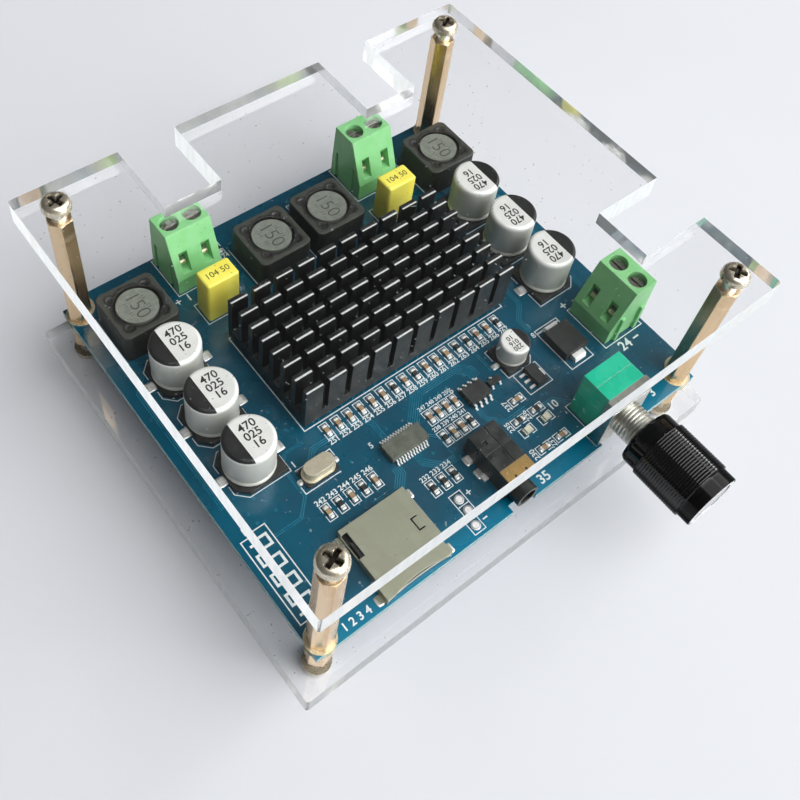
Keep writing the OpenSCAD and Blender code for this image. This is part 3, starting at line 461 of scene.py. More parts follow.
def laminateFinish(look):
    # blue solder mask, brighter along the front as painted light; cut edges show the pale core between two blue lines
    material, tree, shader, place = made["solderMask"]
    paintedLightDepth = [toRow([0, depth, 0])[1] for depth in (look["paintedLightDepth"], 0)]
    # painted light: the mask turns lighter towards the front edge
    overlay(tree, shader, spread(tree, axisOf(tree, place, "Y"), *paintedLightDepth), tone(*look["front"]))
    low, high = [toRow(corner)[2] for corner in nodeBox("circuit_board")]
    fromMiddle = calc(tree, "ABSOLUTE", calc(tree, "SUBTRACT", axisOf(tree, place, "Z"), (low + high) / 2))
    layer = spread(tree, fromMiddle, *[share * (high - low) for share in look["layer"]])
    fibre = noise(tree, place, 3200, 3.0, (0.12, 0.12, 1.0))
    inCore = calc(tree, "MULTIPLY", layer, spread(tree, fibre, 0.35, 0.65, *look["fibre"]))
    rim = mixColours(tree, inCore, tone(*look["rim"]), tone(*look["core"]))
    facing = axisOf(tree, addNode(tree, "NewGeometry").outputs["Normal"], "Z")
    overlay(tree, shader, spread(tree, calc(tree, "ABSOLUTE", facing), 0.6, 0.4), rim)


laminateFinish(laminateLook)

# the glow values set a painted glow: emission on the outer left and front edges, though the sheet is no lamp
acrylicLook = {"tint": (255, 255, 255), "frostAndGlow": (226, 229, 230), "frostShare": 0.26, "edgeRough": 0.14, "pass": 0.985,
               "paintedGlow": (0.24, 0.46), "frontGlowShare": 0.4, "paintedGlowShare": (0.5, 0.88), "dust": 0.3}


def faceSpots(name, axis):
    # metre positions along an axis of a CAD node's straight edge faces that look down that axis
    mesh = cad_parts[name].data
    spots = {round(f.center[axis], 6) for f in mesh.polygons if f.normal[axis] < -0.99 and f.area > 3 * mm * mm}
    return sorted(spots)


def onSpots(tree, value, spots):
    # 1 where a value lies on one of the given positions
    hits = [addNode(tree, "Math", {0: value, 1: spot, 2: 0.05 * mm}, operation="COMPARE").outputs[0] for spot in spots]
    total = hits[0]
    for hit in hits[1:]:
        total = calc(tree, "MAXIMUM", total, hit)
    return total


def acrylicFinish(look):
    # clear sheet with polished faces and slightly frosted saw-cut edges; lamps shine through it; the outer left and
    # front edges also carry a painted glow (emission), brighter higher up, standing in for light carried through the
    # sheet
    material, tree, shader, place = newMaterial("clearAcrylic")
    feed(tree, shader, {"Base Color": tone(*look["tint"]), "Transmission Weight": 1.0, "IOR": 1.49})
    facing = axisOf(tree, addNode(tree, "NewGeometry").outputs["True Normal"], "Z")
    onEdge = spread(tree, calc(tree, "ABSOLUTE", facing), 0.6, 0.4)
    sawn = noise(tree, place, 700, 3.0, (1.0, 1.0, 0.2))
    sawnRough = spread(tree, sawn, 0.3, 0.7, 0.02, look["edgeRough"])
    feed(tree, shader, {"Roughness": calc(tree, "MULTIPLY", onEdge, sawnRough)})
    low = toRow(nodeBox("top_plate")[0])
    axes = addNode(tree, "SeparateXYZ", {"Vector": place}).outputs
    atLeft = onSpots(tree, axes["X"], faceSpots("top_plate", 0))
    atFront = onSpots(tree, axes["Y"], faceSpots("top_plate", 1))
    outer = calc(tree, "MAXIMUM", atLeft, atFront)
    inNotch = spread(tree, axes["Y"], low[1] + 1 * mm, low[1] + 2 * mm, look["frontGlowShare"], 0.8)
    glowEdges = calc(tree, "MAXIMUM", atLeft, calc(tree, "MULTIPLY", atFront, inNotch))
    middle = (toRow([0, 0, 0])[2], toRow([0, 0, 20])[2])
    upper = spread(tree, axes["Z"], *middle, *look["paintedGlow"])
    white = tone(*look["frostAndGlow"])
    # painted glow: the outer edges emit white light, stronger higher up
    glowShader = addNode(tree, "Emission", {"Color": white, "Strength": calc(tree, "MULTIPLY", glowEdges, upper)})
    outside = addNode(tree, "BsdfDiffuse", {"Color": white})
    inside = addNode(tree, "BsdfTranslucent", {"Color": white})
    ground = addNode(tree, "MixShader", {0: 0.5, 1: outside.outputs["BSDF"], 2: inside.outputs["BSDF"]})
    frostAndGlow = addNode(tree, "AddShader", {0: glowShader.outputs["Emission"], 1: ground.outputs["Shader"]})
    # share of the frosted and painted-glow shader on the outer edges, rising with height
    lit = calc(tree, "MULTIPLY", outer, spread(tree, axes["Z"], *middle, *look["paintedGlowShare"]))
    streaks = spread(tree, sawn, 0.3, 0.7, 0.9, 1.0)
    most = calc(tree, "MULTIPLY", calc(tree, "MAXIMUM", lit, look["frostShare"]), streaks)
    frostShare = calc(tree, "MULTIPLY", onEdge, most)
    dust = spread(tree, noise(tree, place, 1300, 1.0), 0.755, 0.775, 0.0, look["dust"])
    cut = addNode(tree, "MixShader", {0: calc(tree, "MAXIMUM", frostShare, dust), 1: shader.outputs["BSDF"],
                                      2: frostAndGlow.outputs["Shader"]})
    path = addNode(tree, "LightPath")
    through = calc(tree, "MAXIMUM", path.outputs["Is Shadow Ray"], path.outputs["Is Diffuse Ray"])
    clear = addNode(tree, "BsdfTransparent", {"Color": (look["pass"],) * 3 + (1.0,)})
    both = addNode(tree, "MixShader", {0: through, 1: cut.outputs["Shader"], 2: clear.outputs["BSDF"]})
    tree.links.new(both.outputs["Shader"], tree.nodes["Material Output"].inputs["Surface"])
    return material


skin["clearAcrylic"] = acrylicFinish(acrylicLook)
print("plate edges towards the left and front:", len(faceSpots("top_plate", 0)), len(faceSpots("top_plate", 1)))

canLook = {"mark": (26, 27, 26), "chord": -0.34, "crown": 0.945, "side": (208, 209, 201), "shadedSideTo": (0.93, 0.86),
           "metal": 0.18}


def canFinish(look):
    # satin lacquered aluminium, greyer down the side as painted shade; a black segment on the crown shows the marked
    # lead's side
    material, tree, shader, place = made["canAluminium"]
    spot = addNode(tree, "Attribute", attribute_name="canSpot").outputs["Vector"]
    axes = addNode(tree, "SeparateXYZ", {"Vector": spot}).outputs
    onMark = calc(tree, "MULTIPLY", calc(tree, "LESS_THAN", axes["X"], look["chord"]),
                  calc(tree, "GREATER_THAN", axes["Z"], look["crown"]))
    # painted shade: the side is greyer than the crown
    overlay(tree, shader, spread(tree, axes["Z"], *look["shadedSideTo"]), tone(*look["side"]))
    overlay(tree, shader, onMark, tone(*look["mark"]))
    bare = calc(tree, "SUBTRACT", 1.0, onMark)
    feed(tree, shader, {"Metallic": calc(tree, "MULTIPLY", bare, look["metal"])})


canFinish(canLook)

shellLook = {"top": (62, 65, 59), "topShare": 0.8, "glue": (22, 22, 20), "ring": (5.5, 5.1), "lobe": (1.5, 1.15),
             "lobeAt": 3.75, "wander": 0.9}


def shellFinish(look):
    # sintered shield with a paler top, and dark varnish in a wandering ring round the core and a lobe in each corner
    material, tree, shader, place = made["shieldFerrite"]
    spot = addNode(tree, "Attribute", attribute_name="coilSpot").outputs["Vector"]
    flat = addNode(tree, "VectorMath", {0: spot, 1: (1.0, 1.0, 0.0)}, operation="MULTIPLY").outputs["Vector"]
    wander = calc(tree, "MULTIPLY", calc(tree, "SUBTRACT", noise(tree, place, 700, 2.0), 0.5), look["wander"])
    reach = addNode(tree, "VectorMath", {0: flat}, operation="LENGTH").outputs["Value"]
    folded = addNode(tree, "VectorMath", {0: flat}, operation="ABSOLUTE").outputs["Vector"]
    lobeAt = (look["lobeAt"], look["lobeAt"], 0.0)
    corner = addNode(tree, "VectorMath", {0: folded, 1: lobeAt}, operation="DISTANCE").outputs["Value"]
    inRing = spread(tree, calc(tree, "ADD", reach, wander), *look["ring"])
    inLobe = spread(tree, calc(tree, "ADD", corner, wander), *look["lobe"])
    onTop = spread(tree, axisOf(tree, addNode(tree, "NewGeometry").outputs["True Normal"], "Z"), 0.5, 0.9)
    overlay(tree, shader, calc(tree, "MULTIPLY", onTop, look["topShare"]), tone(*look["top"]))
    overlay(tree, shader, calc(tree, "MULTIPLY", calc(tree, "MAXIMUM", inRing, inLobe), onTop), tone(*look["glue"]))


shellFinish(shellLook)


def dress(finish, names):
    # a CAD node keeps its mesh and takes a finish in each of its material slots
    for name in names:
        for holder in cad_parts[name].material_slots:
            holder.material = skin[finish]


six = range(1, 7)
worn = {
    "clearAcrylic": ["bottom_plate", "top_plate"],
    "standoffBrass": ["lower_standoffs", "upper_standoffs"],
    "solderMask": ["circuit_board"],
    "heatsinkBlack": ["heatsink"],
    "blackEpoxy": ["amplifier_chip", "rectifier_diode", "regulator", "transistor", "preamp_chip"],
    "greyEpoxy": ["decoder_chip"],
    "baseBlack": ["part_bases", "card_base", "card_slider"],
    "coreFerrite": ["inductor_cores"],
    "terminalGreen": ["terminal_housing_%d" % k for k in (1, 2, 3)],
    "clampNickel": ["terminal_screw_%d" % k for k in six] + ["wire_clamp_%d" % k for k in six],
    "solderTin": ["terminal_contacts"],
    "leadTin": ["component_leads"],
    "plateNickel": ["pot_front_plate", "pot_shaft"],
    "crystalCan": ["crystal"],
    "resistorBlack": ["chip_resistors"],
    "tanCeramic": ["chip_capacitors"],
    "ledResin": ["indicator_leds"],
    "potTeal": ["pot_body"],
    "jackBlack": ["jack_body"],
    "coverGold": ["jack_cover"],
    "shieldNickel": ["card_shield"],
}
for finish, names in worn.items():
    dress(finish, names)
print("finishes made:", len(bpy.data.materials))

# capacitor cans
canShape = {"footFlare": 0.45, "groove": 0.34, "grooveHigh": 0.95, "wall": 0.06, "shoulder": 0.75, "sides": 72}
canMarks = {"lines": ("470", "025", "16"), "small": ("220", "016", "10"), "smallScale": 0.63, "height": 1.62,
            "pitch": 2.0, "shift": (0.95, 0.15), "weight": 0.016}
canSide = {k: -1 if k < 4 else 1 for k in six}


def canProfile(radius, low, high, look, scale):
    # foot flare, a rolled groove as one cosine dip, a straight wall and a quarter-round shoulder
    t = np.linspace(0, 1, 11)
    wall = radius - look["wall"]
    foot = [(radius - look["footFlare"] * scale, low), (radius - 0.1, low + 0.07), (radius, low + 0.25),
            (radius - 0.01, low + 0.5)]
    dip = np.column_stack([wall - look["groove"] * scale * (1 - np.cos(2 * np.pi * t)) / 2,
                           low + 0.55 + look["grooveHigh"] * scale * t])
    s = look["shoulder"] * scale
    a = np.linspace(0, np.pi / 2, 9)
    shoulder = np.column_stack([wall - s + s * np.cos(a), high - s + s * np.sin(a)])
    crown = [(wall - s - 0.3, high - 0.01)] + [(r, high - 0.02) for r in (wall - s - 0.6, wall * 0.5, 0.02)]
    return np.vstack([foot, dip, shoulder, crown])


def markSpots(piece, name, centre, size):
    # each point's place from a centre in shares of a size, kept as an attribute for the finish
    flat = np.empty(len(piece.data.vertices) * 3)
    piece.data.vertices.foreach_get("co", flat)
    local = ((flat.reshape(-1, 3) - boardCorner) / mm - centre) / size
    marks = piece.data.attributes.new(name, "FLOAT_VECTOR", "POINT")
    marks.data.foreach_set("vector", local.astype(np.float32).ravel())


def makeCan(name, node, markSide, lines, scale):
    # a turned can with its lines of digits; the black segment lies on the side that markSide gives
    low, high = nodeBox(node)
    mid, radius = (low + high) / 2, (high[0] - low[0]) / 2
    centre = np.array([mid[0], mid[1], 0])
    turn = 0 if markSide < 0 else 180
    body = moved(turned(canProfile(radius, low[2], high[2], canShape, scale), canShape["sides"]), centre)
    parts = [(body, "canAluminium")]
    for k, text in enumerate(lines):
        across, up = canMarks["shift"]
        offset = np.array([across, up + (1 - k) * canMarks["pitch"]]) * scale * -markSide
        at = centre + np.array([*offset, high[2] - 0.019])
        parts.append((lettering(text, canMarks["height"] * scale, at, turn, canMarks["weight"]), "inkBlack"))
    piece = makePiece(name, parts, "board", [node])
    markSpots(piece, "canSpot", centre, np.array([-markSide * radius, radius, high[2]]))


for k in six:
    makeCan("capacitorCan_%d" % k, "filter_capacitor_%d" % k, canSide[k], canMarks["lines"], 1.0)
makeCan("capacitorCan_small", "small_capacitor", 1, canMarks["small"], canMarks["smallScale"])
print("capacitor cans made")

# inductors: square shields with a well and four pockets; the cores carry stamped digits
coilShape = {"corner": 1.4, "edge": 0.32, "wellRadius": 4.8, "wellDepth": 0.95, "pocketAt": 0.305, "pocketRadius": 0.8,
             "pocketDepth": 0.3, "angles": 144}
coilMarks = {"digits": "150", "height": 3.0, "weight": -0.012, "tick": 0.12, "tickAt": 1.9, "tickHalf": 0.35,
             "ticks": (-1.5, -0.9, 0.9, 1.5)}


def coilShield(low, high, look):
    # rounded square carried up its side and round its edge, then blended ring by ring into the round mouth of the well;
    # the pockets sink by depth x smooth step of the distance from each corner's pocket centre
    size, mid = high[0] - low[0], (low + high) / 2
    count = look["angles"]
    a = np.linspace(0, 2 * np.pi, count, endpoint=False)
    loop = roundOutline(size, size, look["corner"], 0, 24)
    loop = np.vstack([loop, loop[:1]])
    along = np.concatenate([[0], np.cumsum(np.hypot(*np.diff(loop, axis=0).T))])
    walk = np.linspace(0, along[-1], 1600, endpoint=False)
    full = np.column_stack([np.interp(walk, along, loop[:, k]) for k in (0, 1)])
    angles = np.arctan2(full[:, 1], full[:, 0]) % (2 * np.pi)
    order = np.argsort(angles)
    reach = np.interp(a, angles[order], np.hypot(*full[order].T), period=2 * np.pi)
    t = np.linspace(0, np.pi / 2, 6)
    e = look["edge"]
    radii = [reach, reach] + [reach - e * (1 - np.cos(k)) for k in t[1:]]
    heights = [low[2], high[2] - e] + [high[2] - e + e * np.sin(k) for k in t[1:]]
    for share in np.linspace(0, 1, 22)[1:]:
        radii.append((reach - e) * (1 - share) + look["wellRadius"] * share)
        heights.append(high[2])
    for share in (0.1, 0.5, 1.0):
        radii.append(np.full(count, look["wellRadius"] - 0.05))
        heights.append(high[2] - look["wellDepth"] * share)
    radii.append(np.full(count, 0.5))
    heights.append(high[2] - look["wellDepth"])
    r = np.array(radii)
    z = np.repeat(np.array(heights)[:, None], count, 1)
    x, y = r * np.cos(a), r * np.sin(a)
    pocket = np.hypot(np.abs(x) - look["pocketAt"] * size, np.abs(y) - look["pocketAt"] * size)
    sink = np.clip((look["pocketRadius"] - pocket) / 0.25 + 0.5, 0, 1)
    z = z - look["pocketDepth"] * sink * sink * (3 - 2 * sink) * (z > high[2] - 0.01)
    return lidded(np.stack([x + mid[0], y + mid[1], z], -1).reshape(-1, 3), count)


coreTop = nodeBox("inductor_cores")[1][2]
stamps = []
for k in range(1, 5):
    low, high = nodeBox("inductor_%d" % k)
    mid = (low + high) / 2
    piece = makePiece("coilShield_%d" % k, [(coilShield(low, high, coilShape), "shieldFerrite")], "board",
                      ["inductor_%d" % k])
    markSpots(piece, "coilSpot", mid, 1.0)
    at = (mid[0], mid[1], coreTop + 0.002)
    stamps.append((lettering(coilMarks["digits"], coilMarks["height"], at, -90, coilMarks["weight"]), "stampGrey"))
    for step in coilMarks["ticks"]:
        for end in (-coilMarks["tickAt"], coilMarks["tickAt"]):
            line = [(mid[0] + end + half, mid[1] + step) for half in (-coilMarks["tickHalf"], coilMarks["tickHalf"])]
            stamps.append((ribbon(line, coilMarks["tick"], coreTop - 0.01, coreTop + 0.012), "stampGrey"))
makePiece("coreStamps", stamps, "board")
print("inductors made")

# film capacitors
filmShape = {"corner": 0.55, "topRound": 0.45, "digits": "104 50", "height": 1.35}
for k in (1, 2):
    low, high = nodeBox("film_capacitor_%d" % k)
    mid = (low + high) / 2
    box = softBlock(low, high, filmShape["corner"], filmShape["topRound"])
    digits = lettering(filmShape["digits"], filmShape["height"], (mid[0], mid[1], high[2] - 0.004))
    makePiece("filmBox_%d" % k, [(box, "filmYellow"), (digits, "inkBlack")], "board",
              ["film_capacitor_%d" % k])

# bare saw marks on the fin tops, partly a painted highlight along their front edges
finShape = {"rows": 8, "cols": 10, "thick": 1.2, "cut": 1.4, "strip": 0.36, "inset": 0.05, "wander": 0.05}


def finStrips(look):
    # one thin bar on the front edge of each fin top, repeated over the rows and columns of fins
    low, high = nodeBox("heatsink")
    step = ((high[0] - low[0] + look["cut"]) / look["cols"], (high[1] - low[1] - look["thick"]) / (look["rows"] - 1))
    long = step[0] - look["cut"]
    bars = []
    for i in range(look["cols"]):
        for j in range(look["rows"]):
            x, y = low[0] + i * step[0], low[1] + j * step[1] + look["inset"] + look["strip"] / 2
            wander = look["wander"] * math.sin(3.1 * i + 1.7 * j)
            path = [(x + look["inset"], y), (x + long - look["inset"], y)]
            # painted highlight: a near-white bar along each fin top's front edge, partly bare metal
            bars.append((ribbon(path, look["strip"] + wander, high[2] - 0.02, high[2] + 0.012), "finBareAndHighlight"))
    return bars


makePiece("finEdges", finStrips(finShape), "board")
print("film capacitors and fin edges made")

# volume knob, with its collars, grooved grip and bright face, and the bushing's thread
knobShape = {"back": 0.21, "front": 0.84, "groove": 0.04, "groovePitch": 0.56, "rim": 0.4, "ringIn": 1.35,
             "dishIn": 1.85, "sides": 120, "faceSides": 96}


def knobProfile(radius, grip, length, look):
    # rear collar, grip with narrow grooves as cubed cosine dips, front collar with a small round
    g0, g1 = length * look["back"], length * look["front"]
    z = np.linspace(g0 + 0.25, g1 - 0.25, 220)
    dips = grip - look["groove"] * ((1 - np.cos(2 * np.pi * (z - g0) / look["groovePitch"])) / 2) ** 3
    start = [(3.1, 0), (radius - 0.9, 0), (radius - 0.35, 0.2), (radius - 0.08, 0.6), (radius, 1.0), (radius, g0 - 0.1),
             (radius + 0.05, g0), (grip - 0.12, g0 + 0.04), (grip, g0 + 0.16)]
    rim = radius - look["rim"]
    end = [(grip, g1 - 0.16), (grip - 0.12, g1 - 0.04), (radius + 0.05, g1), (radius, g1 + 0.1),
           (radius, length - 0.25), (radius - 0.08, length - 0.06), (rim, length - 0.02), (rim - 0.05, length - 0.5),
           (0.05, length - 0.5)]
    return np.vstack([start, np.column_stack([dips, z]), end])


def faceParts(radius, length, look):
    # bright ring, black groove and a shallow dish: z falls with 1 - (r / R)^2 towards the middle
    floor, r0, r1, r2 = length - 0.48, radius - 0.42, radius - look["ringIn"], radius - look["dishIn"]
    ring = [(r0, floor), (r0, length - 0.06), (r0 - 0.1, length), (r1 + 0.12, length), (r1, length - 0.05), (r1, floor)]
    groove = [(r1 - 0.01, floor), (r1 - 0.01, floor + 0.12), (r2 + 0.01, floor + 0.12), (r2 + 0.01, floor)]
    r = np.linspace(r2 - 0.08, 0.05, 12)
    dish = np.column_stack([r, length - 0.16 - 0.14 * (1 - (r / r2) ** 2)])
    face = np.vstack([[(r2, floor), (r2, length - 0.22)], dish])
    sides = look["faceSides"]
    return closedTurn(ring, sides), closedTurn(groove, sides), turned(face, sides)


knobLow, knobHigh = nodeBox("volume_knob")
faceLow, faceHigh = nodeBox("knob_face")
shaftAt = (knobLow + knobHigh) / 2
knobBack, knobLong = knobHigh[1], knobHigh[1] - knobLow[1]
gripRadius = (knobHigh[0] - knobLow[0]) / 2
collarRadius = (faceHigh[0] - faceLow[0]) / 2 + knobShape["rim"]
knobAt = (shaftAt[0], knobBack, shaftAt[2])
grip = laidAlongY(turned(knobProfile(collarRadius, gripRadius, knobLong, knobShape), knobShape["sides"]), knobAt)
ringPart, groovePart, facePart = [laidAlongY(shape, knobAt) for shape in faceParts(collarRadius, knobLong, knobShape)]
makePiece("knobGrip", [(grip, "knobBlack")], "knob", ["volume_knob"])
makePiece("knobFace", [(ringPart, "ringWhite"), (groovePart, "knobBlack"), (facePart, "mirrorChrome")],
          "knob", ["knob_face"])

bushShape = {"bore": 3.3, "ahead": 2.2,
             "thread": {"radius": 3.62, "depth": 0.22, "pitch": 0.75, "sides": 48, "perTurn": 10}}
plateLow, plateHigh = nodeBox("pot_front_plate")


def sleeve(shape, inner, sides):
    # an outer surface closed inwards by a plain bore: the first and last ring join a ring of the bore's radius
    points, faces = shape
    rows = len(points) // sides
    bore = carried([(inner, points[-1][2]), (inner, points[0][2])], sides)
    return np.vstack([points, bore]), gridFaces(rows + 2, sides, True, True)


bushBack = nodeBox("pot_body")[0][1] - bushShape["ahead"]
thread = threaded(length=bushBack - plateLow[1] - 0.02, **bushShape["thread"])
thread = sleeve(thread, bushShape["bore"], bushShape["thread"]["sides"])
thread = laidAlongY(thread, (shaftAt[0], bushBack, shaftAt[2]))
makePiece("bushingThread", [(thread, "plateNickel")], "board")
print("knob and bushing made")

# pan head screws with a cross recess and a threaded shank
screwShape = {"cross": 0.42, "arm": 1.6, "recess": 1.45, "rim": 0.35, "flat": 0.52, "turn": 20, "turnMore": 7,
              "sides": 64, "rings": 26,
              "shank": {"radius": 1.22, "depth": 0.16, "pitch": 0.45, "sides": 28, "perTurn": 8}}


def panHead(radius, height, look):
    # dome z = rim + (height - rim) sqrt(1 - s^2) outside the flat; the cross sinks by a smooth step of the arm distance
    s = np.linspace(1, 0.02, look["rings"])
    a = np.linspace(0, 2 * np.pi, look["sides"], endpoint=False)
    rim, flat = height * look["rim"], look["flat"]
    k = np.clip((s - flat) / (1 - flat), 0, 1)
    dome = rim + (height - rim) * np.sqrt(1 - k * k)
    x, y = radius * s[:, None] * np.cos(a), radius * s[:, None] * np.sin(a)
    near, far = np.minimum(np.abs(x), np.abs(y)), np.maximum(np.abs(x), np.abs(y))
    inside = np.clip((look["cross"] - near) / 0.14 + 0.5, 0, 1) * np.clip((look["arm"] - far) / 0.25 + 0.5, 0, 1)
    z = dome[:, None] - look["recess"] * inside * np.clip(1.25 - far / look["arm"] * 0.6, 0, 1)
    skirt = carried([(radius, 0)], look["sides"])
    points, faces = lidded(np.vstack([skirt, np.stack([x, y, z], -1).reshape(-1, 3)]), look["sides"])
    sunk = np.concatenate([np.zeros(look["sides"]), inside.ravel()])
    deep = [f for f in faces if sunk[f].mean() > 0.55]
    return points, [f for f in faces if sunk[f].mean() <= 0.55], deep


def screwSet(node, upward):
    # four heads on the plate's outer face with their shanks running into the standoffs
    low, high = nodeBox(node)
    plate = nodeBox("top_plate" if upward else "bottom_plate")
    face = plate[1][2] if upward else plate[0][2]
    height = high[2] - face if upward else face - low[2]
    reach = face - low[2] if upward else high[2] - face
    headLow, headHigh = solidBoxes(node)[0]
    radius = (headHigh[0] - headLow[0]) / 2
    head, outside, deep = panHead(radius, height, screwShape)
    shank, threads = threaded(length=reach, **screwShape["shank"])
    shank = shank - np.array([0, 0, reach])
    flip = np.array([1, 1, 1 if upward else -1])
    # painted shade: the cross recess takes a darker finish than the head
    kinds = ((head, outside, "screwNickel"), (head, deep, "paintedRecessShade"), (shank, threads, "screwNickel"))
    parts = []
    for column, x in enumerate((low[0] + radius, high[0] - radius)):
        turn = screwShape["turn"] + screwShape["turnMore"] * column
        for y in (low[1] + radius, high[1] - radius):
            parts += [(moved((points * flip, faces), (x, y, face), turn), finish) for points, faces, finish in kinds]
    return parts


makePiece("topScrewHeads", screwSet("top_screws", True), "board", ["top_screws"])
makePiece("bottomScrewHeads", screwSet("bottom_screws", False), "board", ["bottom_screws"])
print("screws made")

# board legend: frames and plain numbers in white ink
legendLook = {"line": 0.17, "low": -0.01, "high": 0.018, "digit": 1.1, "fill": 0.4, "frame": (0.86, 1.66), "gap": 0.3,
              "weight": 0.018, "firstNumber": 230}
legend = []


def inkLine(path, width=legendLook["line"]):
    legend.append((ribbon(path, width, legendLook["low"], legendLook["high"]), "inkWhite"))


def inkAbout(mid, offsets):
    # a stroke given by its corners' distances from a middle
    inkLine([(mid[0] + x, mid[1] + y) for x, y in offsets])


def inkFrame(x0, y0, x1, y1, width=legendLook["line"]):
    inkLine([(x0, y0), (x1, y0), (x1, y1), (x0, y1), (x0, y0)], width)


def inkDigits(text, x, y, height=legendLook["digit"], turn=0):
    legend.append((lettering(text, height, (x, y, 0.004), turn, legendLook["weight"]), "inkWhite"))


def inkCan(mid, side, half, gap, corner):
    # two brackets round a can's base, with its cut corners on one side
    for q in (-1, 1):
        inkAbout(mid, [(-side * half, q * gap), (-side * half, q * half), (side * (half - corner), q * half),
                       (side * half, q * (half - corner)), (side * half, q * gap)])


def liesAcross(low, high):
    # a chip that is longer across the board than in depth
    return high[0] - low[0] > high[1] - low[1]


chips = solidBoxes("chip_resistors") + solidBoxes("chip_capacitors")
chips.sort(key=lambda box: (round(float(box[0][1]), 1), float(box[0][0])))
chipMids = np.array([(low + high)[:2] / 2 for low, high in chips])
for number, ((low, high), (x, y)) in enumerate(zip(chips, chipMids), legendLook["firstNumber"]):
    w, d = legendLook["frame"]
    g = legendLook["gap"]
    lying = liesAcross(low, high)
    for s in (-1, 1):
        bracket = [(-w, s * g), (-w, s * d), (w, s * d), (w, s * g)]
        inkAbout((x, y), [(q, p) if lying else (p, q) for p, q in bracket])
    if lying:
        inkDigits(str(number), x - 2.5, y, turn=90)
    else:
        apart = np.abs(chipMids[np.abs(chipMids[:, 1] - y) < 0.3][:, 0] - x)
        near = apart[apart > 0.1].min(initial=4.0)
        inkDigits(str(number), x, y + (2.45 if y < 30 else -2.4), min(legendLook["digit"], near * legendLook["fill"]))

legendFrames = {  # margins to the left, front, right and back of a node, and the line's width
    "heatsink": (-0.05, 0.1, -0.15, 0.1, 0.22),
    "rectifier_diode": (0.1, 2.15, 0.0, 1.95, 0.22),
    "regulator": (2.1, 0.35, 1.3, 0.35, 0.17),
    "film_capacitor_1": (0.45, 0.45, 0.45, 0.45, 0.17),
    "film_capacitor_2": (0.45, 0.45, 0.45, 0.45, 0.17),
    "terminal_housing_1": (0.3, 0.4, 0.3, 0.3, 0.2),
    "terminal_housing_2": (0.3, 0.4, 0.3, 0.3, 0.2),
    "terminal_housing_3": (0.4, 0.3, 0.2, 0.3, 0.2),
}
for node, (left, front, right, back, width) in legendFrames.items():
    low, high = nodeBox(node)
    inkFrame(low[0] - left, low[1] - front, high[0] + right, high[1] + back, width)
diodeLow, diodeHigh = nodeBox("rectifier_diode")
inkLine([(diodeLow[0] - 0.1, diodeHigh[1] + 1.2), (diodeHigh[0], diodeHigh[1] + 1.2)], 0.4)
potLow, potHigh = nodeBox("pot_body")
inkFrame(potLow[0] - 0.5, plateHigh[1] - 2.1, potHigh[0] + 0.5, potHigh[1] + 0.5)
for k in six:
    inkCan(nodeMid("filter_capacitor_%d" % k), canSide[k], 5.45, 1.6, 2.0)
inkCan(nodeMid("small_capacitor"), 1, 3.6, 1.1, 1.4)
for s in (-1, 1):
    inkAbout(nodeMid("crystal"), [(-s * 3.4, s * 2.4), (s * 4.4, s * 2.4), (s * 4.4, s * 0.8)])
    for k in range(1, 5):
        low, high = nodeBox("inductor_%d" % k)
        half = (high[0] - low[0]) / 2 + 0.3
        inkAbout((low + high) / 2, [(s * half, -half), (s * half, half)])
    for low, high in solidBoxes("indicator_leds"):
        inkAbout((low + high) / 2, [(s * 0.5, -0.95), (s * 1.6, -0.95), (s * 1.6, 0.95), (s * 0.5, 0.95)])

padSpots = {"at": (37.1, 2.15), "pitch": 2.54, "half": 1.3, "end": 1.4}
padX, padY = padSpots["at"]
padLeft, padRight = padX - padSpots["half"], padX + padSpots["half"]
inkFrame(padLeft, padY - padSpots["end"], padRight, padY + 2 * padSpots["pitch"] + padSpots["end"])
for k in (0.5, 1.5):
    inkLine([(padLeft, padY + k * padSpots["pitch"]), (padRight, padY + k * padSpots["pitch"])])
inkDigits("+", padX + 2.4, padY + 2 * padSpots["pitch"], 1.5)
inkDigits("−", padX + 2.4, padY, 1.5)

aerial = {"x": (1.2, 6.2), "y": (6.2, 24.0), "waves": 4, "bar": 0.5, "inset": 0.9}
inkFrame(aerial["x"][0], aerial["y"][0], aerial["x"][1], aerial["y"][1], 0.22)
turns = np.arange(4 * aerial["waves"])
waveY = np.repeat(np.linspace(aerial["y"][1] - 1.6, aerial["y"][0] + 1.4, 2 * aerial["waves"]), 2)
waveX = np.where(turns // 2 % 2 == turns % 2, aerial["x"][0] + aerial["inset"], aerial["x"][1] - aerial["inset"])
inkLine(np.column_stack([waveX, waveY]), aerial["bar"])
inkDigits("1", aerial["x"][0] + 1.5, aerial["y"][1] + 1.3, 1.5)

legendDigits = [  # text, node, its low (0) or high (1) side in x and y (None: from the board's front), shift, height
    ("1", "crystal", (0, 1), (0.6, 1.7), 1.3),
    ("+", "terminal_housing_1", (0, 0), (-1.2, -1.6), 1.7),
    ("1", "terminal_housing_1", (0, 0), (1.2, -1.7), 1.7),
    ("+", "terminal_housing_2", (1, 0), (1.6, -1.6), 1.7),
    ("2", "terminal_housing_2", (1, 0), (-0.4, -1.7), 1.7),
    ("+", "terminal_housing_3", (0, 1), (-0.2, 1.5), 2.0),
    ("24 −", "terminal_housing_3", (0, 0), (4.9, -2.0), 2.1),
    ("35", "jack_body", (1, None), (3.4, 1.7), 1.9),
    ("1 2 3 4", "card_shield", (0, None), (-4.7, 1.5), 1.5),
    ("3", "pot_body", (1, None), (8.2, 2.4), 1.8),
    ("10", "pot_body", (0, 1), (-2.2, 2.2), 1.6),
]
for number, node in enumerate(("decoder_chip", "preamp_chip", "transistor", "rectifier_diode", "regulator"), 5):
    legendDigits.append((str(number), node, (0, 1), (-0.9, 1.4), 1.2))
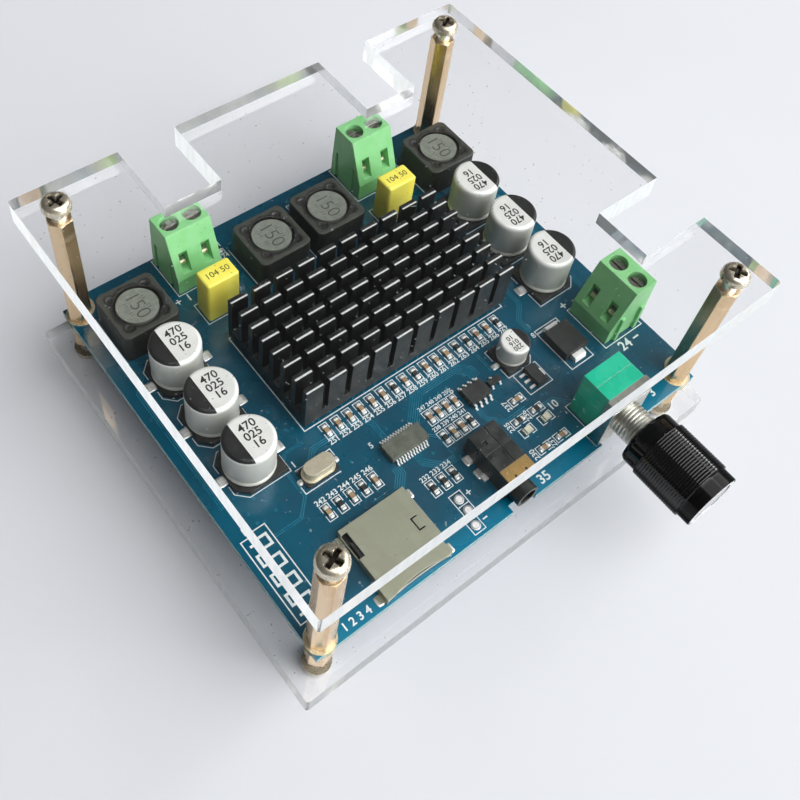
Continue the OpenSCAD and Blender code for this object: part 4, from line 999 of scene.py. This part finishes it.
for text, node, sides, shift, height in legendDigits:
    box = nodeBox(node)
    x, y = [shift[k] + (0 if side is None else box[side][k]) for k, side in enumerate(sides)]
    inkDigits(text, x, y, height)
makePiece("boardLegend", legend, "board")
print("legend made:", len(legend), "strokes")

# copper tracks below the mask, as thin raised ribbons with sloped corners
trackLook = {"width": 0.2, "pitch": 0.43, "high": 0.008, "low": -0.01, "chipReach": 60}
bundles = [
    ([(40.4, 24.2), (42.6, 26.4), (45.2, 29.0), (54.6, 29.0), (57.0, 26.6), (57.0, 25.0)], 6),
    ([(31.8, 19.0), (31.8, 17.4), (29.6, 15.2), (24.0, 15.2)], 5),
    ([(36.6, 19.0), (36.6, 16.8), (39.4, 14.0), (43.4, 14.0)], 4),
    ([(52.4, 19.4), (52.4, 16.8), (55.2, 14.0), (60.4, 14.0)], 3),
    ([(68.8, 9.6), (66.0, 12.4), (62.6, 12.4)], 3),
    ([(20.0, 29.2), (21.6, 30.8), (32.0, 30.8), (34.0, 28.8), (34.0, 24.4)], 3),
    ([(41.0, 20.6), (42.4, 19.2), (42.4, 15.4), (43.6, 14.2)], 2),
    ([(6.4, 21.0), (12.0, 21.0), (15.0, 24.0), (15.0, 31.0), (17.0, 33.0), (21.0, 33.0)], 2),
    ([(60.6, 24.0), (60.6, 29.0), (63.0, 31.4), (66.4, 31.4)], 2),
    ([(73.4, 26.6), (73.4, 30.0), (76.4, 33.0), (76.4, 38.0)], 3),
    ([(90.6, 28.6), (90.6, 40.0), (92.6, 42.0), (92.6, 66.0), (90.0, 68.6)], 3),
    ([(2.4, 31.0), (2.4, 60.0), (4.4, 62.0), (4.4, 66.0)], 3),
    ([(22.0, 62.0), (30.0, 62.0), (33.4, 65.4), (33.4, 78.0)], 3),
    ([(63.4, 78.0), (63.4, 66.0), (66.0, 63.4), (72.0, 63.4)], 3),
]
tracks = []


def layTrack(path):
    tracks.append((ribbon(path, trackLook["width"], trackLook["low"], trackLook["high"]), "traceBlue"))


for path, count in bundles:
    for k in range(count):
        layTrack(beside(path, (k - (count - 1) / 2) * trackLook["pitch"]))
for (low, high), (x, y) in zip(chips, chipMids):
    if abs(y - chips[-1][0][1]) <= trackLook["chipReach"] and not liesAcross(low, high):
        layTrack([(x, y + 0.6), (x, y + 2.6), (x + 0.9, y + 3.5)])
viaLook = {"from": (3, 14), "to": (92, 83), "tried": 260, "kept": 90, "clear": 0.8, "seed": 5}
viaSpots = np.random.default_rng(viaLook["seed"]).uniform(viaLook["from"], viaLook["to"], (viaLook["tried"], 2))
passed = {"circuit_board", "top_plate", "bottom_plate", "component_leads", "part_bases", "chip_resistors",
          "chip_capacitors", "indicator_leds", "terminal_contacts", "inductor_cores"}
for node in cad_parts:
    if node not in passed and not node.endswith(("screws", "standoffs")):
        low, high = nodeBox(node)
        inside = (viaSpots > low[:2] - viaLook["clear"]) & (viaSpots < high[:2] + viaLook["clear"])
        viaSpots = viaSpots[~inside.all(1)]
for x, y in viaSpots[:viaLook["kept"]]:
    tracks.append((moved(ringShape(0.14, 0.32, 0.02, 10), (x, y, -0.008)), "traceBlue"))
makePiece("boardTracks", tracks, "board")
print("tracks made:", len(tracks))

# solder: lumps on the leads, slopes at the chip ends, rings round the standoffs
solderLook = {  # distance from the part's middle, size, squareness
    "can": (6.0, (2.7, 2.2, 0.16), 0.3), "small": (4.0, (1.7, 1.3, 0.16), 0.3),
    "crystal": (4.0, (1.2, 1.2, 0.34), 0.6), "chip": (1.02, (0.72, 1.12, 0.44), 0.6),
}
solder = []
joints = [("filter_capacitor_%d" % k, "can") for k in six] + [("small_capacitor", "small"), ("crystal", "crystal")]
for node, kind in joints:
    mid, (out, size, square) = nodeMid(node), solderLook[kind]
    solder += [(lump((mid[0] + s * out, mid[1], 0), size, square=square), "solderTin") for s in (-1, 1)]
out, (long, wide, tall), square = solderLook["chip"]
for (low, high), (x, y) in zip(chips, chipMids):
    for s in (-1, 1):
        if liesAcross(low, high):
            at, size = (x + s * out, y, 0), (long, wide, tall)
        else:
            at, size = (x, y + s * out, 0), (wide, long, tall)
        solder.append((lump(at, size, 10, 3, square), "solderTin"))
padShape = {"rim": [(1.0, 0.0), (0.98, 0.16), (0.84, 0.24), (0.6, 0.24), (0.42, 0.19), (0.3, 0.11), (0.24, 0.06)],
            "hole": 0.23}
for k in range(3):
    at = (padX, padY + k * padSpots["pitch"], 0)
    solder.append((moved(turned(padShape["rim"], 28), at), "padTin"))
    # painted shade: the pad's hole is a dark disc
    solder.append((moved(turned([(padShape["hole"], 0.0), (padShape["hole"], 0.07)], 16), at), "paintedRecessShade"))
makePiece("solderJoints", solder, "board")

# bright folded leads at both ends of the rectifier
foldShape = {"width": 3.0, "section": [(-0.2, 0.02), (1.42, 0.02), (1.46, 0.12), (1.34, 0.3), (1.22, 0.95), (1.0, 1.18),
                                       (-0.2, 1.2)]}


def alongX(section, width):
    # an outline in depth and height, carried along x over a width, with a lid at each end
    y, z = np.array(section).T
    x = np.repeat([[-width / 2], [width / 2]], len(y), 1)
    return lidded(np.stack([x, np.repeat([y], 2, 0), np.repeat([z], 2, 0)], -1).reshape(-1, 3), len(y))


diodeMid = (diodeLow + diodeHigh) / 2
leads = []
for place, side in ((diodeLow[1], -1), (diodeHigh[1], 1)):
    lead = alongX([(side * y, z) for y, z in foldShape["section"]], foldShape["width"])
    leads.append((moved(lead, (diodeMid[0], place, 0)), "leadBright"))
makePiece("diodeLeads", leads, "board")

ringLook = {"in": 2.6, "bore": 1.5, "radius": 2.95, "thick": 0.05, "heights": (-0.01, -1.64), "sides": 48}
ring = ringShape(ringLook["bore"], ringLook["radius"], ringLook["thick"], ringLook["sides"])
boardSize = nodeBox("circuit_board")[1]
rings = [(moved(ring, (x, y, z)), "padCream") for x in (ringLook["in"], boardSize[0] - ringLook["in"])
         for y in (ringLook["in"], boardSize[1] - ringLook["in"]) for z in ringLook["heights"]]
makePiece("standoffPads", rings, "board")
print("solder made")

# contact springs in the terminals' test slots, lugs on the card socket and the jack
contactShape = {"radius": 0.62, "width": 1.5, "steps": 14, "middles": (25.45, 71.05, 20.6), "half": 2.54, "in": 2.75,
                "high": 6.0}


def slotSpring(look):
    # half round strip across the slot: y = -r cos t, z = r sin t, carried along x
    t = np.linspace(-0.5 * np.pi, 0.5 * np.pi, look["steps"])
    return alongX(np.column_stack([-np.cos(t), np.sin(t)]) * look["radius"], look["width"])


springs = []
for k, middle in enumerate(contactShape["middles"], 1):
    low, high = nodeBox("terminal_housing_%d" % k)
    for s in (-contactShape["half"], contactShape["half"]):
        if k < 3:
            at, turn = (middle + s, low[1] + contactShape["in"], contactShape["high"]), 0
        else:
            at, turn = (low[0] + contactShape["in"], middle + s, contactShape["high"]), -90
        springs.append((moved(slotSpring(contactShape), at, turn), "padCream"))
makePiece("slotSprings", springs, "board")

lipShape = {"inset": 1.1, "bow": 0.42, "width": 0.3, "low": 0.35, "high": 1.2}
cardLow, cardHigh = nodeBox("card_shield")
jackLow, jackHigh = nodeBox("jack_body")


def cardLip(look):
    # bent front lip below the scooped mouth: y = y0 + bow x (1 - u^2) for u from -1 to 1 across the socket
    u = np.linspace(-1, 1, 25)
    half = (cardHigh[0] - cardLow[0]) / 2 - look["inset"]
    path = np.column_stack([(cardLow[0] + cardHigh[0]) / 2 + half * u, cardLow[1] + 0.16 + look["bow"] * (1 - u * u)])
    return ribbon(path, look["width"], look["low"], look["high"])


makePiece("cardLip", [(cardLip(lipShape), "plateNickel")], "board")
lugLook = {"size": (1.7, 2.0, 0.14), "square": 0.35, "cardIn": 0.35, "front": 1.35, "back": 1.3, "jackOut": 3.8}
lugSpots = [(x, y) for x in (cardLow[0] + lugLook["cardIn"], cardHigh[0] - lugLook["cardIn"])
            for y in (cardLow[1] + lugLook["front"], cardHigh[1] - lugLook["back"])]
jackSpots = ((-1, jackLow[1] + 8.96), (-1, jackHigh[1] - 2.0), (1, jackHigh[1] - 5.6), (1, jackHigh[1] - 1.1))
lugSpots += [((jackLow[0] + jackHigh[0]) / 2 + s * lugLook["jackOut"], y) for s, y in jackSpots]
lugs = [(lump((x, y, 0), lugLook["size"], square=lugLook["square"]), "solderTin") for x, y in lugSpots]
makePiece("socketLugs", lugs, "board")
print("springs and lugs made")

# stage: floor, light and camera
# left and fade: painted shade that darkens the floor towards the left
stageLook = {"left": (211, 213, 218), "fade": (0.03, -0.13), "backdrop": (232, 234, 238), "reach": 4.0, "rings": 40,
             "sides": 96}


def floorSheet(look):
    # flat disc: radius grows with the square of the ring number so that the middle has the finer faces
    r = np.linspace(0.02, 1, look["rings"]) ** 2 * look["reach"]
    points = carried(np.column_stack([r, np.zeros_like(r)]), look["sides"])
    mesh = bpy.data.meshes.new("floor")
    middle = list(range(look["sides"] - 1, -1, -1))
    mesh.from_pydata(points, [], gridFaces(look["rings"], look["sides"], wrapCols=True) + [middle])
    shell = bmesh.new()
    shell.from_mesh(mesh)
    for f in shell.faces:
        if f.normal.z < 0:
            f.normal_flip()
    shell.to_mesh(mesh)
    shell.free()
    material, tree, shader, place = made["paperFloor"]
    # painted shade: the floor turns darker towards the left
    overlay(tree, shader, spread(tree, axisOf(tree, place, "X"), *look["fade"]), tone(*look["left"]))
    mesh.materials.append(material)
    sheet = bpy.data.objects.new("floor", mesh)
    scene.collection.objects.link(sheet)


floorSheet(stageLook)

lightLook = {"low": 0.05, "front": 0.24, "frontFrom": (0.4, -0.8, 0.35), "target": (0.0, 0.0, 0.02)}
lamps = {
    "keyLamp": {"at": (1.45, -0.85, 1.35), "size": (2.2, 1.5), "power": 29.0},
    "topLamp": {"at": (0.3, -1.0, 1.9), "size": (2.0, 2.0), "power": 36.0},
    "frontLamp": {"at": (0.8, -1.95, 0.75), "size": (1.8, 0.8), "power": 29.0},
    "stripLamp": {"at": (1.7, 0.0, 0.85), "size": (0.5, 0.16), "power": 3.0},
}
for name, look in lamps.items():
    data = bpy.data.lights.new(name, "AREA")
    data.shape, data.energy = "RECTANGLE", look["power"]
    data.size, data.size_y = look["size"]
    holder = bpy.data.objects.new(name, data)
    scene.collection.objects.link(holder)
    holder.location = look["at"]
    holder.rotation_euler = (Vector(lightLook["target"]) - Vector(look["at"])).to_track_quat("-Z", "Y").to_euler()
    holder.visible_camera = False


def studioWorld(look):
    # dim room, brighter towards the front by the cosine of the direction; a camera or the glass sees a pale backdrop
    world = bpy.data.worlds.new("studio")
    scene.world = world
    world.use_nodes = True
    tree = world.node_tree
    way = addNode(tree, "TexCoord").outputs["Generated"]
    toFront = np.array(look["frontFrom"]) / np.linalg.norm(look["frontFrom"])
    facing = addNode(tree, "VectorMath", {0: way, 1: tuple(toFront)}, operation="DOT_PRODUCT").outputs["Value"]
    strength = spread(tree, facing, 0.0, 1.0, look["low"], look["front"])
    room = addNode(tree, "Background", {"Color": (1.0, 1.0, 1.0, 1.0), "Strength": strength})
    pale = addNode(tree, "Background", {"Color": tone(*stageLook["backdrop"]), "Strength": 1.0})
    path = addNode(tree, "LightPath")
    straight = calc(tree, "LESS_THAN", path.outputs["Glossy Depth"], 0.5)
    behind = calc(tree, "MULTIPLY", path.outputs["Is Transmission Ray"], straight)
    seen = calc(tree, "MAXIMUM", path.outputs["Is Camera Ray"], behind)
    mixed = addNode(tree, "MixShader", {0: seen, 1: room.outputs["Background"], 2: pale.outputs["Background"]})
    tree.links.new(mixed.outputs["Shader"], tree.nodes["World Output"].inputs["Surface"])


studioWorld(lightLook)

cameraLook = {"at": (-38.0618, -37.1098, 172.2871), "turn": (36.68728, -5.19397, -38.22535), "lens": 46.5815,
              "shift": (0.0375, -0.1375)}
cameraData = bpy.data.cameras.new("photoCamera")
cameraData.lens, cameraData.sensor_width = cameraLook["lens"], 36.0
cameraData.shift_x, cameraData.shift_y = cameraLook["shift"]
cameraData.clip_start, cameraData.clip_end = 0.01, 20.0
camera = bpy.data.objects.new("photoCamera", cameraData)
camera.location = toRow(cameraLook["at"])
camera.rotation_euler = [math.radians(a) for a in cameraLook["turn"]]
scene.collection.objects.link(camera)
scene.camera = camera

scene.view_settings.view_transform = "Standard"
scene.cycles.max_bounces = 16
scene.cycles.transmission_bounces = 16
scene.cycles.transparent_max_bounces = 24
print("stage set")
